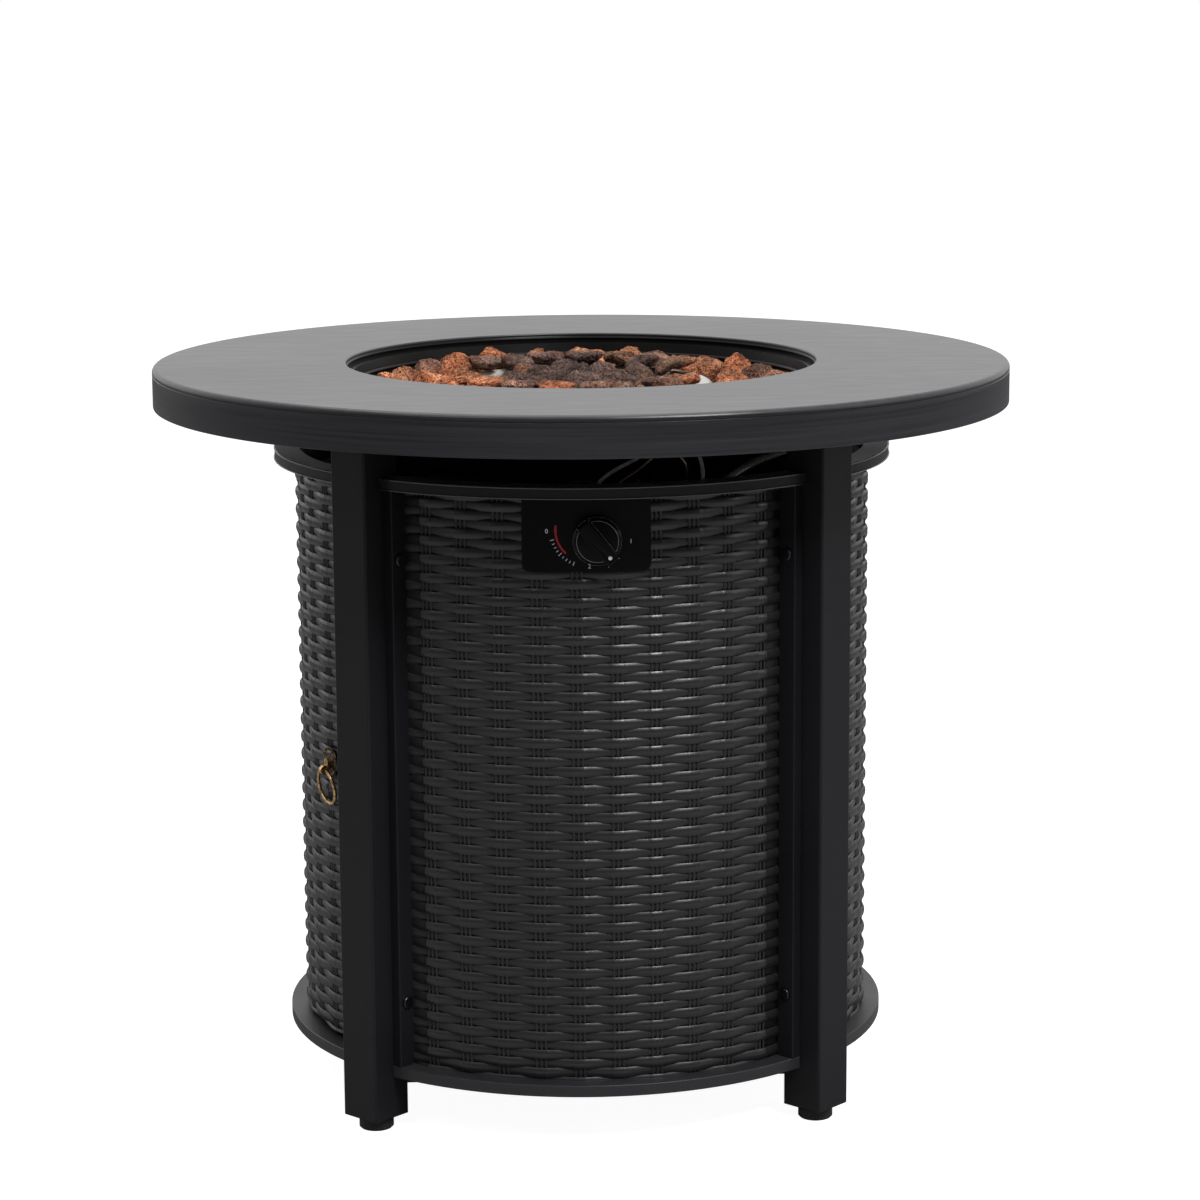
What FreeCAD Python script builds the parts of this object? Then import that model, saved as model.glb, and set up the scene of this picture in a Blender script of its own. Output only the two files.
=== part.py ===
# Gas fire pit table: round steel top on four legs, with a gas burner under lava rocks,
# embossed side panels, a side door with a ring pull, and a control valve in the front.
# The origin is on the floor under the middle. +Z is up, the front faces -Y, and +X is to the right.
import FreeCAD
import Part
import Sketcher
import math
import os
import random

OUT = "parts"
os.makedirs(OUT, exist_ok=True)
doc = FreeCAD.newDocument("FirePitTable")
up = FreeCAD.Vector(0, 0, 1)

# Driving dimensions in millimetres and degrees
sheet = doc.addObject("Spreadsheet::Sheet", "Sizes")
driving = (
    # Tabletop
    ("table_height", 647),
    ("table_radius", 381),
    ("top_steel", 1.5),
    ("rim_drop", 35),
    ("rim_hem", 12),
    ("edge_round", 4),
    ("bowl_opening", 210),
    ("collar_drop", 8.5),
    ("stud_radius", 3),
    ("stud_length", 14),
    # Fire bowl
    ("bowl_mouth", 203),
    ("bowl_flange", 23),
    ("bowl_depth", 73.5),
    ("bowl_floor", 188),
    ("bowl_steel", 1.2),
    ("bowl_bend", 8),
    ("clip_steel", 2),
    ("clip_width", 24),
    # Legs and feet
    ("leg_side", 40),
    ("leg_wall", 1.6),
    ("leg_round", 2),
    ("leg_circle", 271.5),
    ("leg_plate", 3),
    ("foot_height", 12),
    ("foot_radius", 15),
    ("foot_stud", 4),
    ("foot_travel", 12),
    ("plug_height", 20),
    # Rails, base disc and lower bars
    ("rail_top", 573),
    ("rail_inner", 253),
    ("rail_outer", 275),
    ("rail_depth", 10),
    ("rail_steel", 1.5),
    ("disc_top", 59),
    ("disc_radius", 271),
    ("disc_rim", 10),
    ("disc_steel", 1.5),
    ("well_radius", 155),
    ("well_depth", 2),
    ("notch_gap", 0.5),
    ("bar_side", 20),
    ("bar_wall", 1.2),
    # Posts beside the legs
    ("post_width", 9.6),
    ("post_depth", 17.5),
    ("post_steel", 1.5),
    ("post_screw_low", 116),
    ("post_screw_high", 503),
    ("screw_head", 5.5),
    ("screw_shank", 2.5),
    # Embossed panels
    ("panel_crest", 256.8),
    ("emboss_depth", 4.1),
    ("strand_pitch", 16),
    ("panel_steel", 1.2),
    ("panel_gap", 0.3),
    # Door
    ("door_gap", 2.2),
    ("hinge_reach", 258),
    ("hinge_offset", 36),
    ("hinge_pin", 3),
    ("tab_steel", 2),
    ("stile_width", 12),
    ("stile_depth", 8),
    ("pull_azimuth", -62.3),
    ("pull_height", 303),
    ("ring_radius", 15.5),
    ("ring_wire", 1.6),
    # Control
    ("knob_height", 527),
    ("knob_radius", 20.3),
    ("knob_gap", 4),
    ("knob_angle", -51),
    ("plate_left", 62),
    ("plate_right", 45),
    ("plate_low", 500),
    ("plate_high", 561),
    ("plate_steel", 1.5),
    ("valve_side", 30),
    ("valve_length", 38),
    ("stem_radius", 4),
    # Gas line
    ("inlet_radius", 7.9),
    ("hose_radius", 4.5),
    # Burner
    ("burner_circle", 110),
    ("burner_tube", 10),
    ("burner_wall", 1.2),
    ("burner_rise", 53),
    ("port_radius", 1.5),
    ("pilot_azimuth", 20),
    ("pilot_circle", 135),
    # Clearances
    ("running_gap", 0.05),
    ("loose_gap", 0.3),
)
for row, (alias, number) in enumerate(driving, 1):
    sheet.set("A%d" % row, alias)
    sheet.set("B%d" % row, str(number))
    sheet.setAlias("B%d" % row, alias)
doc.recompute()


class Size:
    """A number that keeps the sheet expression it comes from."""

    def __init__(self, value, text):
        self.value = float(value)
        self.text = text

    def __add__(self, other):
        other = as_size(other)
        return Size(self.value + other.value, "(%s + %s)" % (self.text, other.text))

    def __sub__(self, other):
        other = as_size(other)
        return Size(self.value - other.value, "(%s - %s)" % (self.text, other.text))

    def __mul__(self, other):
        other = as_size(other)
        return Size(self.value * other.value, "(%s * %s)" % (self.text, other.text))

    def __truediv__(self, other):
        other = as_size(other)
        return Size(self.value / other.value, "(%s / %s)" % (self.text, other.text))

    def __radd__(self, other):
        return as_size(other) + self

    def __rsub__(self, other):
        return as_size(other) - self

    def __rmul__(self, other):
        return as_size(other) * self

    def __neg__(self):
        return Size(-self.value, "(-%s)" % self.text)


def as_size(number):
    """A plain number as a Size."""
    if isinstance(number, Size):
        return number
    return Size(number, "(%.6f)" % number)


class Sheet:
    """The driving dimensions by name, each as a Size."""

    def __init__(self, rows):
        for alias, number in rows:
            setattr(self, alias, Size(number, "Sizes." + alias))


s = Sheet(driving)
half_right_angle = Size(45, "45 deg")


def root(number):
    """Square root of a Size."""
    return Size(math.sqrt(number.value), "sqrt(%s)" % number.text)


def angle_over(side, radius):
    """Angle in degrees that a side subtends on a circle, as seen from its middle."""
    degrees = math.degrees(math.asin(side.value / radius.value))
    return Size(degrees, "asin(%s / %s)" % (side.text, radius.text))


def bind(obj, **values):
    """Sets number properties and binds each to its sheet expression."""
    for name, number in values.items():
        number = as_size(number)
        setattr(obj, name, number.value)
        obj.setExpression(name, number.text)


def seat(obj, x, y, z):
    """Binds an object's position."""
    for letter, number in zip("xyz", (x, y, z)):
        obj.setExpression("Placement.Base." + letter, as_size(number).text)


turns = {
    "x": FreeCAD.Rotation(FreeCAD.Vector(0, 1, 0), 90),
    "y": FreeCAD.Rotation(FreeCAD.Vector(1, 0, 0), -90),
    "z": FreeCAD.Rotation(),
}


def place_along(obj, axis, start, a, b):
    """Lays an upright primitive along an axis, from start, at a and b on the other two axes."""
    obj.Placement = FreeCAD.Placement(FreeCAD.Vector(), turns[axis])
    if axis == "x":
        seat(obj, start, a, b)
    elif axis == "y":
        seat(obj, a, start, b)
    else:
        seat(obj, a, b, start)


def block(x0, x1, y0, y1, z0, z1):
    """Box between two corners."""
    box = doc.addObject("Part::Box", "Block")
    x0, x1, y0, y1, z0, z1 = (as_size(v) for v in (x0, x1, y0, y1, z0, z1))
    bind(box, Length=x1 - x0, Width=y1 - y0, Height=z1 - z0)
    seat(box, x0, y0, z0)
    return box


def rod(axis, radius, start, end, a=0, b=0):
    """Round bar along an axis."""
    bar = doc.addObject("Part::Cylinder", "Rod")
    bind(bar, Radius=radius, Height=as_size(end) - start)
    place_along(bar, axis, start, a, b)
    return bar


def taper(axis, radius_start, radius_end, start, end, a=0, b=0):
    """Cone along an axis."""
    cone = doc.addObject("Part::Cone", "Taper")
    bind(cone, Radius1=radius_start, Radius2=radius_end, Height=as_size(end) - start)
    place_along(cone, axis, start, a, b)
    return cone


def hexagon(axis, radius, start, end, a=0, b=0):
    """Hexagonal bar along an axis, radius to its corners."""
    bar = doc.addObject("Part::Prism", "Hexagon")
    bar.Polygon = 6
    bind(bar, Circumradius=radius, Height=as_size(end) - start)
    place_along(bar, axis, start, a, b)
    return bar


def cut(base, *tools):
    """Base less each tool."""
    for tool in tools:
        result = doc.addObject("Part::Cut", "Cut")
        result.Base = base
        result.Tool = tool
        base = result
    return base


def fuse(*parts):
    """One solid of parts that overlap or touch."""
    result = doc.addObject("Part::MultiFuse", "Fuse")
    result.Shapes = list(parts)
    return result


def overlap(first, second):
    """What two objects share."""
    result = doc.addObject("Part::MultiCommon", "Common")
    result.Shapes = [first, second]
    return result


def rounded(base, radius, chosen):
    """Base with a fillet on the edges that a test picks."""
    doc.recompute()
    result = doc.addObject("Part::Fillet", "Rounded")
    result.Base = base
    edges = []
    for number, edge in enumerate(base.Shape.Edges, 1):
        if chosen(edge):
            edges.append((number, radius.value, radius.value))
    result.Edges = edges
    return result


def along(edge, axis):
    """True for a straight edge along an axis vector."""
    if edge.Curve.TypeId != "Part::GeomLine":
        return False
    return abs(abs(edge.tangentAt(edge.FirstParameter).dot(axis)) - 1) < 1e-6


def circle_at(edge, radius, height):
    """True for a circular edge about the middle at a radius and height."""
    if edge.Curve.TypeId != "Part::GeomCircle":
        return False
    curve = edge.Curve
    return abs(curve.Radius - radius.value) < 0.01 and abs(curve.Center.z - height.value) < 0.01


def outline_sketch(body, role, points):
    """Closed sketch of straight lines whose corners are bound to the sheet."""
    sketch = body.newObject("Sketcher::SketchObject", "Outline")
    plane = [feature for feature in body.Origin.OriginFeatures if feature.Role == role][0]
    sketch.AttachmentSupport = (plane, "")
    sketch.MapMode = "FlatFace"
    corners = [(as_size(x), as_size(y)) for x, y in points]
    count = len(corners)
    for k, (x, y) in enumerate(corners):
        x_next, y_next = corners[(k + 1) % count]
        start = FreeCAD.Vector(x.value, y.value, 0)
        end = FreeCAD.Vector(x_next.value, y_next.value, 0)
        sketch.addGeometry(Part.LineSegment(start, end), False)
    for k in range(count):
        sketch.addConstraint(Sketcher.Constraint("Coincident", k, 2, (k + 1) % count, 1))
    for k, (x, y) in enumerate(corners):
        for kind, number in (("DistanceX", x), ("DistanceY", y)):
            index = sketch.addConstraint(Sketcher.Constraint(kind, -1, 1, k, 1, number.value))
            sketch.setExpression("Constraints[%d]" % index, number.text)
    return sketch


def swing(azimuth):
    """Placement that turns the front to an azimuth."""
    return FreeCAD.Placement(FreeCAD.Vector(), FreeCAD.Rotation(up, azimuth))


def spot(x, reach, azimuth):
    """Plan position of a point x across and reach out from the middle, at an azimuth."""
    offset = FreeCAD.Vector(as_size(x).value, -as_size(reach).value, 0)
    return FreeCAD.Rotation(up, azimuth).multVec(offset)


def swung(obj, azimuth):
    """An object turned from the front to an azimuth, for use in a further step."""
    result = doc.addObject("Part::Compound", "Swung")
    result.Links = [obj]
    result.Placement = swing(azimuth)
    return result


def turned(outline, sweep=None):
    """Body turned about the upright axis from (radius, height) corners, centred on the front."""
    body = doc.addObject("PartDesign::Body", "Turned")
    body.Placement = swing(-90)
    sketch = outline_sketch(body, "XZ_Plane", outline)
    turn = body.newObject("PartDesign::Revolution", "Revolution")
    turn.Profile = sketch
    turn.ReferenceAxis = (sketch, ["V_Axis"])
    turn.Midplane = sweep is not None
    if sweep is None:
        turn.Angle = 360
    else:
        bind(turn, Angle=sweep)
    return body


def padded(outline, low, high):
    """Body padded upward from (x, y) corners between two heights."""
    body = doc.addObject("PartDesign::Body", "Padded")
    sketch = outline_sketch(body, "XY_Plane", outline)
    sketch.setExpression("AttachmentOffset.Base.z", as_size(low).text)
    pad = body.newObject("PartDesign::Pad", "Pad")
    pad.Profile = sketch
    bind(pad, Length=as_size(high) - low)
    return body


def rounded_body(body, rounds):
    """Fillets on a body's circular edges, each given as radius, circle radius and height."""
    for radius, circle, height in rounds:
        doc.recompute()
        tip = body.Tip
        names = []
        for number, edge in enumerate(tip.Shape.Edges, 1):
            if circle_at(edge, circle, height):
                names.append("Edge%d" % number)
        fillet = body.newObject("PartDesign::Fillet", "Fillet")
        fillet.Base = (tip, names)
        bind(fillet, Radius=radius)
    return body


pieces = []


def piece(label, obj, azimuth=0):
    """Names a finished sub-part and turns it from the front to its azimuth."""
    obj.Label = label
    obj.Placement = swing(azimuth).multiply(obj.Placement)
    pieces.append(obj)
    return obj


def feature(label, shape):
    """Sub-part whose shape is worked out in this script."""
    obj = doc.addObject("Part::Feature", label)
    obj.Shape = shape
    return piece(label, obj)


def around(label, pattern, azimuths, mirrored=False):
    """One node of identical solids, copied from the front to each azimuth."""
    doc.recompute()
    solids = []
    for azimuth in azimuths:
        for flip in (False, True) if mirrored else (False,):
            solid = pattern.Shape.copy()
            if flip:
                solid = solid.mirror(FreeCAD.Vector(), FreeCAD.Vector(1, 0, 0))
            solid.rotate(FreeCAD.Vector(), up, azimuth)
            solids.append(solid)
    return feature(label, Part.makeCompound(solids))


sides = {"front": 0, "right": 90, "rear": 180, "left": -90}
legs = {"front_left": -45, "front_right": 45, "rear_right": 135, "rear_left": -135}

# Heights and radii that several sub-parts share
top_under = s.table_height - s.top_steel
flange_top = s.table_height - s.collar_drop
flange_under = flange_top - s.bowl_steel
floor_under = s.table_height - s.collar_drop - s.bowl_depth
floor_top = floor_under + s.bowl_steel
leg_inside = s.leg_circle - s.leg_side / 2
leg_top = top_under - s.leg_plate
rail_under = s.rail_top - s.rail_depth
disc_under = s.disc_top - s.disc_steel
post_inner = s.leg_side / 2 + s.post_width
post_back = leg_inside + s.notch_gap
post_front = post_back + s.post_depth
panel_outer = s.panel_crest - s.emboss_depth
panel_inner = panel_outer - s.panel_steel
burner_height = floor_under + s.burner_rise


def stud_places():
    """Positions of a leg plate's two studs across the leg, from the front."""
    spread = s.leg_side / 2 + 12
    return (-spread, spread)


# Tabletop: pressed steel sheet with a turned-down rim, a hem, a collar round the bowl opening
# and welded studs for the leg plates
def make_tabletop():
    inner_face = s.table_radius - s.top_steel
    rim_low = s.table_height - s.rim_drop
    outline = (
        (s.bowl_opening, s.table_height),
        (s.table_radius, s.table_height),
        (s.table_radius, rim_low),
        (s.table_radius - s.rim_hem, rim_low),
        (s.table_radius - s.rim_hem, rim_low + s.top_steel),
        (inner_face, rim_low + s.top_steel),
        (inner_face, top_under),
        (s.bowl_opening + s.top_steel, top_under),
        (s.bowl_opening + s.top_steel, flange_top),
        (s.bowl_opening, flange_top),
    )
    top = rounded_body(
        turned(outline),
        (
            (s.edge_round, s.table_radius, s.table_height),
            (s.edge_round - s.top_steel, inner_face, top_under),
            (s.top_steel * 0.9, s.bowl_opening, s.table_height),
        ),
    )
    doc.recompute()
    studs = [top]
    for azimuth in legs.values():
        for x in stud_places():
            stud = rod("z", s.stud_radius, top_under - s.stud_length, top_under, x, -s.leg_circle)
            studs.append(swung(stud, azimuth))
    piece("tabletop", fuse(*studs))
    low = top_under - s.leg_plate
    nut = cut(
        hexagon("z", s.stud_radius * 1.9, low - 5, low, stud_places()[1], -s.leg_circle),
        rod("z", s.stud_radius, low - 6, low + 1, stud_places()[1], -s.leg_circle),
    )
    around("tabletop_nuts", nut, legs.values(), mirrored=True)


# Fire bowl: pressed bowl hung under the collar, on clips welded to the top's underside
bowl_hole = 12.5
clip_screw = 2.4
clip_reach = 6


def make_bowl():
    flange_outer = s.bowl_mouth + s.bowl_flange
    outline = (
        (flange_outer, flange_top),
        (s.bowl_mouth, flange_top),
        (s.bowl_floor, floor_top),
        (bowl_hole, floor_top),
        (bowl_hole, floor_under),
        (s.bowl_floor + s.bowl_steel, floor_under),
        (s.bowl_mouth + s.bowl_steel, flange_under),
        (flange_outer, flange_under),
    )
    bowl = rounded_body(
        turned(outline),
        (
            (s.bowl_bend, s.bowl_floor, floor_top),
            (s.bowl_bend + s.bowl_steel, s.bowl_floor + s.bowl_steel, floor_under),
        ),
    )
    screw_circle = flange_outer - clip_reach
    web = flange_outer + 10
    holes = []
    for x in (-lead_spread, lead_spread):
        hole = rod("z", grommet_neck, floor_under - 1, floor_top + 1, x, -s.pilot_circle)
        holes.append(swung(hole, s.pilot_azimuth.value))
    for azimuth in clip_azimuths:
        hole = rod("z", clip_screw + 0.1, flange_under - 1, flange_top + 1, 0, -screw_circle)
        holes.append(swung(hole, azimuth))
    piece("fire_bowl", cut(bowl, *holes))
    half = s.clip_width / 2
    tab_low = flange_under - s.clip_steel
    clip = cut(
        fuse(
            block(-half, half, -(web + 14), -web, top_under - s.clip_steel, top_under),
            block(-half, half, -(web + s.clip_steel), -web, tab_low, top_under),
            block(-half, half, -(web + s.clip_steel), -(screw_circle - 7), tab_low, flange_under),
        ),
        rod("z", clip_screw + 0.1, tab_low - 1, flange_under + 1, 0, -screw_circle),
    )
    around("bowl_clips", clip, clip_azimuths)
    screw = fuse(
        rod("z", clip_screw * 2, tab_low - 2.6, tab_low, 0, -screw_circle),
        rod("z", clip_screw, tab_low - 1, flange_top - 0.2, 0, -screw_circle),
    )
    around("bowl_screws", screw, clip_azimuths)


clip_azimuths = [30 + 60 * k for k in range(6)]
lead_spread = 8
grommet_neck = 5


# Burner: ring tube with gas ports, cross tube with hub, mixer tube through the floor
def make_burner():
    hub = 17
    spoke = 7
    mixer = 11
    mixer_bore = mixer - 1.2
    ring = doc.addObject("Part::Torus", "BurnerTube")
    bind(ring, Radius1=s.burner_circle, Radius2=s.burner_tube)
    seat(ring, 0, 0, burner_height)
    centre = FreeCAD.Vector(s.burner_circle.value, 0, burner_height.value)
    circles = []
    for radius in (s.burner_tube.value, s.burner_tube.value - s.burner_wall.value):
        circles.append(Part.Wire(Part.makeCircle(radius, centre, FreeCAD.Vector(0, 1, 0))))
    section = Part.makeFace(circles, "Part::FaceMakerBullseye")
    tube = section.revolve(FreeCAD.Vector(), up, 360)
    ports = []
    for k in range(port_count):
        port = Part.makeCylinder(s.port_radius.value, s.burner_tube.value * 1.5)
        port.rotate(FreeCAD.Vector(), FreeCAD.Vector(0, 1, 0), 35)
        port.translate(FreeCAD.Vector(s.burner_circle.value, 0, burner_height.value))
        port.rotate(FreeCAD.Vector(), up, 360 / port_count * (k + 0.5))
        ports.append(port)
    feature("burner_ring", tube.cut(Part.makeCompound(ports)))
    hub_low = burner_height - 14
    cross = fuse(
        rod("z", hub, hub_low, burner_height + 10),
        rod("x", spoke, -s.burner_circle, s.burner_circle, 0, burner_height),
    )
    piece(
        "burner_crossbar",
        cut(cross, ring, rod("z", mixer, hub_low - 1, hub_low + 9)),
    )
    half = 10
    low = burner_height - s.burner_tube - 0.1
    front = -(s.burner_circle + 1)
    stand = fuse(
        block(-half, half, front, -(s.burner_circle - 1), floor_top, low),
        block(-half, half, front, -(s.burner_circle - 18), floor_top, floor_top + 2),
    )
    around("burner_stands", stand, (60, 180, 300))
    tube_low = floor_under - 36
    piece(
        "mixer_tube",
        cut(
            rod("z", mixer, tube_low, hub_low + 9),
            rod("z", mixer_bore, tube_low - 1, hub_low + 10),
            rod("x", 4, -mixer - 1, mixer + 1, 0, tube_low + 14),
        ),
    )
    nuts = []
    for low in (floor_under - 6, floor_top):
        nuts.append(cut(hexagon("z", 17, low, low + 6), rod("z", mixer, low - 1, low + 7)))
    doc.recompute()
    feature("mixer_locknuts", Part.makeCompound([nut.Shape for nut in nuts]))
    elbow_low = tube_low - 12
    port_level = tube_low - 6
    elbow = fuse(
        rod("z", mixer_bore - 0.1, tube_low - 0.5, tube_low + 6),
        block(-9, 9, -9, 9, elbow_low, tube_low),
        hexagon("x", 5.8, 9, 17, 0, port_level),
        rod("x", 4, 17, hose_end, 0, port_level),
    )
    jet = rod("z", 1, port_level, tube_low + 7)
    passage = rod("x", 2, 0, hose_end + 1, 0, port_level)
    piece("jet_elbow", cut(elbow, jet, passage))


port_count = 24
hose_end = 30


# Pilot: bracket on the bowl floor with a spark electrode and a thermocouple beside the ring
def make_pilot():
    back = s.pilot_circle - 8
    azimuth = s.pilot_azimuth.value
    ear = floor_top + 34
    bracket = fuse(
        block(-16, 16, -back, -(back - 2), floor_top, ear),
        block(-16, 16, -(back + 16), -(back - 2), ear - 2, ear),
        block(-16, 16, -(back - 2), -(back - 14), floor_top, floor_top + 2),
    )
    bores = []
    for x in (-lead_spread, lead_spread):
        bores.append(rod("z", 3.5, ear - 3, ear + 1, x, -s.pilot_circle))
    piece("pilot_bracket", cut(bracket, *bores), azimuth)
    piece(
        "spark_electrode",
        cut(
            fuse(
                rod("z", 3.5, ear - 18, ear + 12, -lead_spread, -s.pilot_circle),
                rod("z", 4.6, ear, ear + 3, -lead_spread, -s.pilot_circle),
            ),
            rod("z", 1, ear - 19, ear + 13, -lead_spread, -s.pilot_circle),
        ),
        azimuth,
    )
    tip_top = burner_height + 8
    piece(
        "electrode_tip",
        fuse(
            rod("z", 1, ear - 18, tip_top, -lead_spread, -s.pilot_circle),
            rod("y", 0.9, -s.pilot_circle, -(s.pilot_circle - 9), -lead_spread, tip_top - 2),
        ),
        azimuth,
    )
    piece(
        "thermocouple",
        fuse(
            rod("z", 3.5, ear - 14, ear + 6, lead_spread, -s.pilot_circle),
            rod("z", 5, ear, ear + 2, lead_spread, -s.pilot_circle),
            rod("z", 2.4, ear + 6, tip_top, lead_spread, -s.pilot_circle),
        ),
        azimuth,
    )
    grommets = []
    for x in (-lead_spread, lead_spread):
        ring = fuse(
            rod("z", grommet_neck, floor_under, floor_top, x, -s.pilot_circle),
            rod("z", grommet_neck + 1.8, floor_under - 1.6, floor_under, x, -s.pilot_circle),
            rod("z", grommet_neck + 1.8, floor_top, floor_top + 1.6, x, -s.pilot_circle),
        )
        grommets.append(cut(ring, rod("z", 2, floor_under - 3, floor_top + 3, x, -s.pilot_circle)))
    doc.recompute()
    pair = Part.makeCompound([ring.Shape for ring in grommets])
    pair.rotate(FreeCAD.Vector(), up, azimuth)
    feature("floor_grommets", pair)


# Legs: square tubes turned to face outward, with a welded plate on top and a plug in the foot end
def make_legs():
    half = s.leg_side / 2
    for name, azimuth in legs.items():
        tube = block(-half, half, -(s.leg_circle + half), -leg_inside, s.foot_height, leg_top)
        tube = rounded(tube, s.leg_round, lambda edge: along(edge, up))
        core = half - s.leg_wall
        hollow = block(
            -core, core, -(s.leg_circle + core), -(s.leg_circle - core),
            s.foot_height - 1, leg_top + 1,
        )
        edge = stud_places()[1] + 8
        plate = block(-edge, edge, -(s.leg_circle + half), -leg_inside, leg_top, top_under)
        plate = rounded(plate, Size(6, "6"), lambda edge: along(edge, up))
        holes = []
        for x in stud_places():
            holes.append(
                rod("z", s.stud_radius + 0.3, leg_top - 1, top_under + 1, x, -s.leg_circle)
            )
        for level in (s.post_screw_low, s.post_screw_high):
            holes.append(
                rod("x", s.screw_shank + 0.1, -(half + 1), half + 1, -post_middle, level)
            )
        piece("leg_" + name, cut(fuse(cut(tube, hollow), plate), *holes), azimuth)
    core = half - s.leg_wall - 0.1
    plug = cut(
        block(
            -core, core, -(s.leg_circle + core), -(s.leg_circle - core),
            s.foot_height, s.foot_height + s.plug_height,
        ),
        rod(
            "z", s.foot_stud + s.running_gap, s.foot_height - 1,
            s.foot_height + s.plug_height + 1, 0, -s.leg_circle,
        ),
    )
    around("leg_plugs", plug, legs.values())


post_middle = (post_back + post_front) / 2


# Feet: round pads on studs that screw down out of the leg plugs
def make_feet():
    for name, azimuth in legs.items():
        pad = fuse(
            taper("z", s.foot_radius - 1.5, s.foot_radius, 0, 1.5, 0, -s.leg_circle),
            rod("z", s.foot_radius, 1.5, s.foot_height - 3, 0, -s.leg_circle),
            taper(
                "z", s.foot_radius, s.foot_radius * 0.6,
                s.foot_height - 3, s.foot_height, 0, -s.leg_circle,
            ),
            rod(
                "z", s.foot_stud, s.foot_height - 1,
                s.foot_height + s.plug_height + s.foot_travel, 0, -s.leg_circle,
            ),
        )
        piece("foot_" + name, pad, azimuth)


# Upper rails: four channel arcs between the legs, open below
def make_rails():
    wall = s.rail_steel
    outline = (
        (s.rail_inner, rail_under),
        (s.rail_inner + wall, rail_under),
        (s.rail_inner + wall, s.rail_top - wall),
        (s.rail_outer - wall, s.rail_top - wall),
        (s.rail_outer - wall, rail_under),
        (s.rail_outer, rail_under),
        (s.rail_outer, s.rail_top),
        (s.rail_inner, s.rail_top),
    )
    clear = s.leg_side / 2 + s.panel_gap / 2
    beside_leg = block(
        -clear, clear, -(s.rail_outer + 20), -(leg_inside - 10), rail_under - 1, s.rail_top + 1
    )
    rounds = ((edge_soft, s.rail_outer, s.rail_top), (edge_soft, s.rail_outer, rail_under))
    arc = rounded_body(turned(outline, 2 * half_right_angle), rounds)
    rail = cut(arc, swung(beside_leg, -45), swung(beside_leg, 45))
    pin = rod(
        "z", s.hinge_pin + 0.1, rail_under - 1, s.rail_top + 1, s.hinge_offset, -s.hinge_reach
    )
    door_rail = cut(rail, swung(pin, legs["rear_left"] - sides["left"]))
    doc.recompute()
    arcs = []
    for name, azimuth in sides.items():
        arc = (door_rail if name == "left" else rail).Shape.copy()
        arc.rotate(FreeCAD.Vector(), up, azimuth)
        arcs.append(arc)
    feature("upper_rails", Part.makeCompound(arcs))


edge_soft = Size(0.8, "0.8")


# Base disc: round shelf for the gas tank with a turned-down rim, notched round the legs
def make_disc():
    well_top = s.disc_top - s.well_depth
    well_edge = s.well_radius + s.well_depth
    outline = (
        (drain_radius, well_top),
        (s.well_radius, well_top),
        (well_edge, s.disc_top),
        (s.disc_radius, s.disc_top),
        (s.disc_radius, s.disc_top - s.disc_rim),
        (s.disc_radius - s.disc_steel, s.disc_top - s.disc_rim),
        (s.disc_radius - s.disc_steel, disc_under),
        (well_edge, disc_under),
        (s.well_radius, well_top - s.disc_steel),
        (drain_radius, well_top - s.disc_steel),
    )
    disc = rounded_body(turned(outline), ((edge_soft, s.disc_radius, s.disc_top),))
    clear = s.leg_side / 2 + s.notch_gap
    notch = block(
        -clear, clear, -(s.disc_radius + 5), -(leg_inside - s.notch_gap),
        s.disc_top - s.disc_rim - 1, s.disc_top + 1,
    )
    tools = [swung(notch, azimuth) for azimuth in legs.values()]
    low = disc_under - 1
    high = s.disc_top + 1
    pin = rod("z", s.hinge_pin + 0.1, low, high, s.hinge_offset, -s.hinge_reach)
    tools.append(swung(pin, legs["rear_left"]))
    for across in (screw_across, -screw_across):
        hole = rod("z", disc_screw + 0.1, low, high, across, -bar_line)
        tools += [swung(hole, azimuth) for azimuth in sides.values()]
    piece("base_disc", cut(disc, *tools))
    screw = fuse(
        rod("z", disc_screw * 1.9, s.disc_top, s.disc_top + 2, screw_across, -bar_line),
        rod("z", disc_screw, disc_under - 8, s.disc_top + 1, screw_across, -bar_line),
    )
    around("disc_screws", screw, sides.values(), mirrored=True)


drain_radius = 12
disc_screw = 2.5
screw_across = 90
bar_line = leg_inside / root(as_size(2))


# Lower bars: square tubes between the legs, mitred together where they meet a leg's inner face
def make_bars():
    half = s.bar_side / 2
    short = bar_line - half
    outline = (
        (-short, -(bar_line + half)),
        (short, -(bar_line + half)),
        (bar_line, -bar_line),
        (short, -short),
        (-short, -short),
        (-bar_line, -bar_line),
    )
    low = disc_under - s.bar_side
    core = half - s.bar_wall
    reach = bar_line + 1
    inside = block(
        -reach, reach, -(bar_line + core), -(bar_line - core),
        low + s.bar_wall, disc_under - s.bar_wall,
    )
    holes = []
    for across in (screw_across, -screw_across):
        hole = rod("z", disc_screw + 0.1, disc_under - 3, disc_under + 1, across, -bar_line)
        holes.append(hole)
    around("lower_bars", cut(padded(outline, low, disc_under), inside, *holes), sides.values())


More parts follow.
